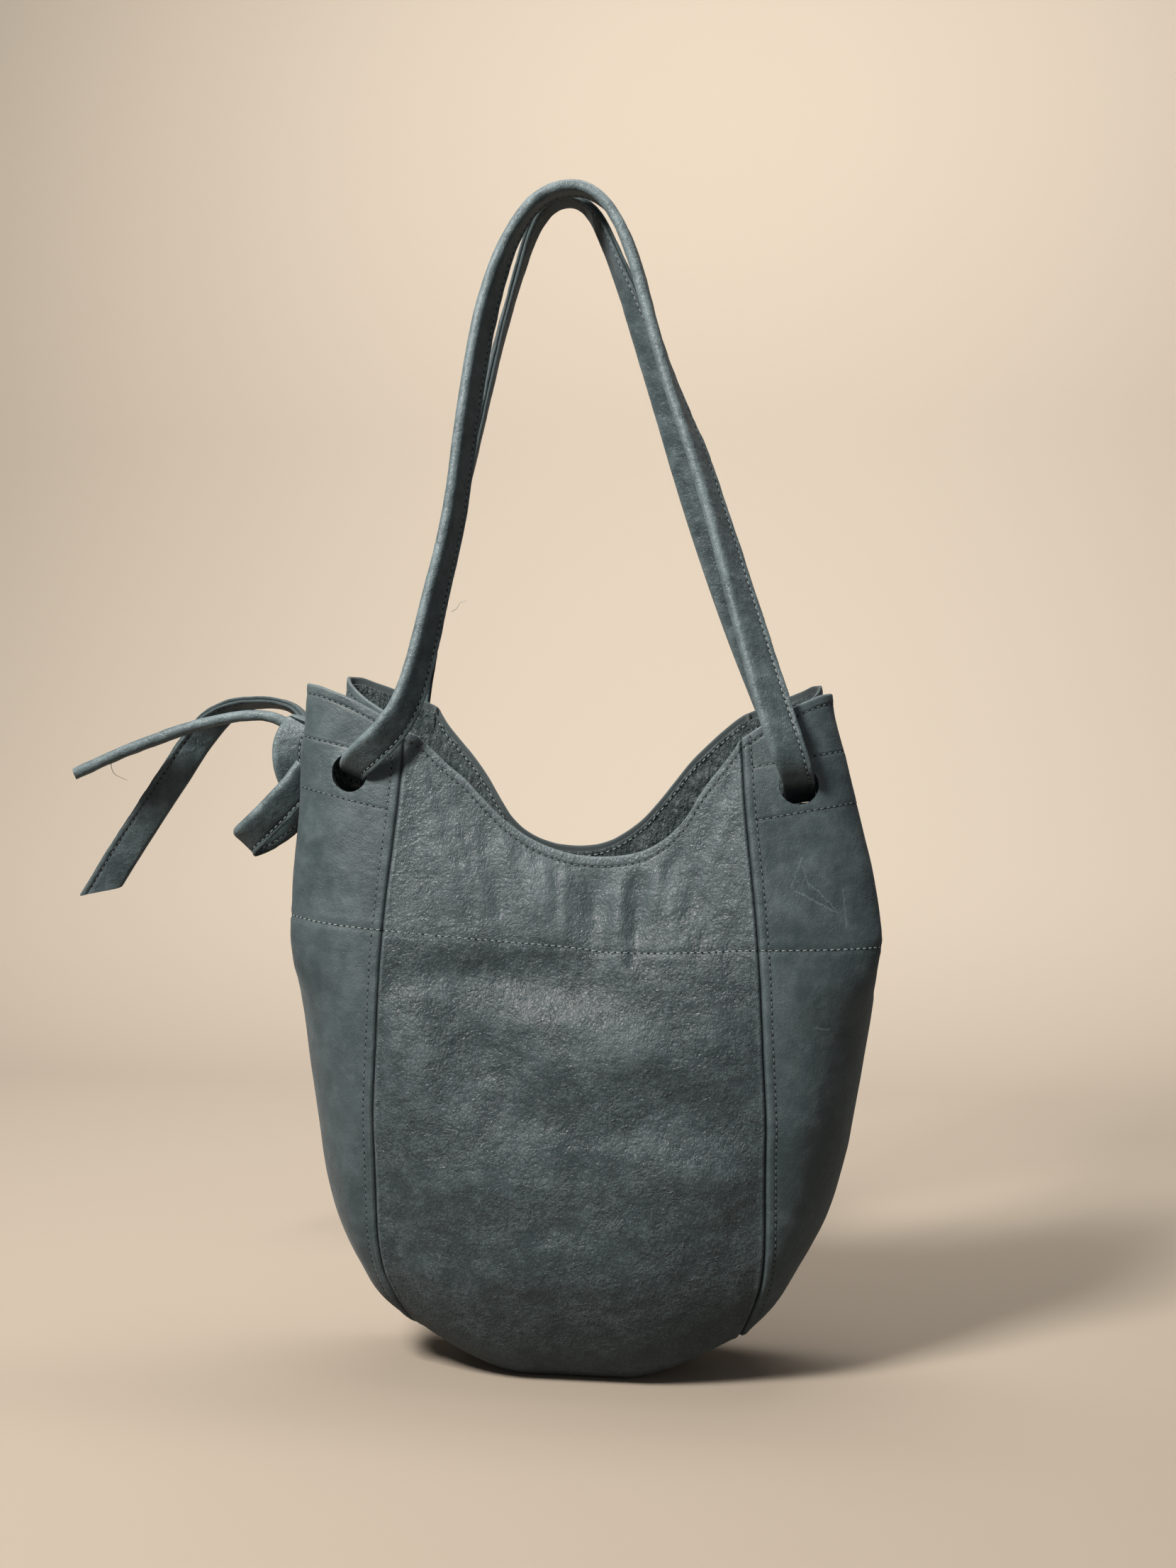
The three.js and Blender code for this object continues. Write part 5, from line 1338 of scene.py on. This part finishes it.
for word, sta, body, s0, s1, sl, node in (
        ("upper_tail", TAIL_A, "tail_a", (-0.170, 0, 0.360), (-0.197, 0, 0.3655), 4.0, "upper_tail"),
        ("lower_tail", TAIL_B, "tail_b", (-0.166, 0.0175, 0.366), (-0.193, 0.0215, 0.375), 8.5, "lower_tail")):
    path = strap_path(sta, 1.8, 4.0)
    ob, rows = strap_mesh(word + "_leather", path, seed=11 if word[0] == "u" else 12, slant1=sl, wobble=1.3)
    done(ob, body=None, replaces=(node,))
    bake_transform(ob)
    st = stitch_mesh(word + "_stitches", rows, M_THREAD_LIT if word[0] == "u" else M_THREAD_SHADED, length=2.6, radius=0.3, lift=0.08)
    done(st, body=None)
    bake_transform(st)
done(stitch_mesh("strap_run_stitches", STITCH_BAG, M_THREAD_LIT, length=2.6, radius=0.3, lift=0.08))


# loose thread ends
def wire(name, pts, r, mat, body, blend=None):
    P = space_curve(pts)(np.linspace(0, 1, 26))
    d = unit(np.gradient(P, axis=0))
    ref = np.array([0.2, 1, 0.3])
    w = unit(np.cross(d, ref))
    h = np.cross(d, w)
    b = Builder()
    a = np.linspace(0, 2 * math.pi, 6, endpoint=False)
    rr = r * np.linspace(1, 0.45, len(P))
    V = P[:, None] + (w[:, None] * np.cos(a)[None, :, None] + h[:, None] * np.sin(a)[None, :, None]) * rr[:, None, None]
    idx = b.add(V, ends=0.2).reshape(len(P), 6)
    nx = np.roll(idx, -1, 1)
    b.quads(np.stack([idx[:-1], nx[:-1], nx[1:], idx[1:]], -1))
    b.f.append(idx[0].tolist()[::-1]); b.m.append(0)
    b.f.append(idx[-1].tolist()); b.m.append(0)
    ob = b.build(name, [mat], sharp=None)
    done(ob, body=None if blend else body)
    if blend:
        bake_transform(ob)
    return ob


wire("upper_tail_loose_thread", [[-281, 5.5, 339.5], [-280.6, 5.8, 335], [-279.2, 6.3, 331.5], [-275.5, 7, 329.3], [-271.5, 7.2, 327.6]], 0.22, M_THREAD_LIT, "tail_a")
wire("front_handle_loose_thread", [[-66.5, -37, 420], [-63.5, -38.5, 421.5], [-61, -39.5, 424.5], [-57.5, -40, 425.6]], 0.17, M_THREAD_LIT, "front_handle")

# =============================================================== stage, light, camera
def stage_mesh():
    """pale floor that sweeps up behind"""
    prof = [(-4.0, 0)] + [(0.9 + 0.9 * math.sin(t), 0.9 - 0.9 * math.cos(t)) for t in np.linspace(0, math.pi / 2, 24)] + [(1.8, 4.0)]
    xs = (-5.0, 5.0)
    v = [(x, y, z - 0.0012) for (y, z) in prof for x in xs]
    f = [(2 * i, 2 * i + 1, 2 * i + 3, 2 * i + 2) for i in range(len(prof) - 1)]
    me = bpy.data.meshes.new("stage_floor")
    me.from_pydata(v, [], f)
    me.shade_smooth()
    ob = bpy.data.objects.new("stage_floor", me)
    bpy.context.scene.collection.objects.link(ob)
    m, nt, b = new_mat("stage_paint")
    # pale to the eye; bounces less light back up than it shows
    n = N(nt)
    lp = n.node("ShaderNodeLightPath")
    sep = n.node("ShaderNodeSeparateXYZ")
    n.put(sep.inputs[0], n.node("ShaderNodeTexCoord").outputs["Object"])
    shade = n.mix(n.rng(n.add(sep.outputs[2], n.mul(sep.outputs[1], 0.35)), -0.35, 0.75), (0.36, 0.30, 0.24), (0.75, 0.645, 0.525))
    n.put(b.inputs["Base Color"], n.mix(lp.outputs["Is Camera Ray"], (0.16, 0.14, 0.118), shade))
    b.inputs["Roughness"].default_value = 0.9
    b.inputs["Specular IOR Level"].default_value = 0.1
    me.materials.append(m)
    ob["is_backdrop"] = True


stage_mesh()


def area(name, loc, target, size, power, colour=(1, 1, 1)):
    l = bpy.data.lights.new(name, "AREA")
    l.shape = "RECTANGLE"
    l.size, l.size_y = size
    l.energy = power
    l.color = colour
    o = bpy.data.objects.new(name, l)
    o.location = loc
    o.rotation_euler = (Vector(target) - Vector(loc)).to_track_quat("-Z", "Y").to_euler()
    bpy.context.scene.collection.objects.link(o)
    return o


area("key", (-0.62, -0.98, 1.36), (0, 0, 0.30), (0.36, 0.36), 38, (1.0, 0.965, 0.92))
area("fill", (1.9, -1.9, 0.9), (0, 0, 0.3), (1.6, 1.6), 3.0, (0.95, 0.97, 1.0))
area("top", (0.1, 0.15, 1.9), (0, 0, 0.3), (1.0, 0.8), 8, (1.0, 0.98, 0.95))
area("backdrop", (0.0, 0.45, 1.9), (0, 1.8, 0.5), (1.8, 0.6), 20, (1.0, 0.97, 0.93))
world = bpy.data.worlds.new("studio")
world.use_nodes = True
# faint cool light all round; past the end of the floor the eye meets the same pale tone
n = N(world.node_tree)
n.put(world.node_tree.nodes["Background"].inputs[0], n.mix(n.node("ShaderNodeLightPath").outputs["Is Camera Ray"], (0.108, 0.1116, 0.12), (0.50, 0.43, 0.35)))
world.node_tree.nodes["Background"].inputs[1].default_value = 1.0
bpy.context.scene.world = world

cam = bpy.data.cameras.new("camera")
cam.sensor_fit = "VERTICAL"
cam.sensor_height = 24.0
cam.lens = 24.0 / (2 * 0.4424)
cam.clip_start, cam.clip_end = 0.02, 50
co = bpy.data.objects.new("camera", cam)
az = math.radians(8.0)
right = Vector((math.cos(az), math.sin(az), 0))
back = Vector((math.sin(az), -math.cos(az), 0))
co.location = back * 1.0 + right * 0.0038 + Vector((0, 0, 0.3254))
co.rotation_euler = (-back).to_track_quat("-Z", "Y").to_euler()
bpy.context.scene.collection.objects.link(co)
bpy.context.scene.camera = co
bpy.context.scene.view_settings.view_transform = "Standard"
bpy.context.scene.view_settings.look = "None"
bpy.context.scene.view_settings.exposure = 0.0


def plain(b):
    return [list(map(float, x)) if hasattr(x, "__len__") else float(x) for x in b]


{"cad": plain(cad_box), "visual": plain(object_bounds())}
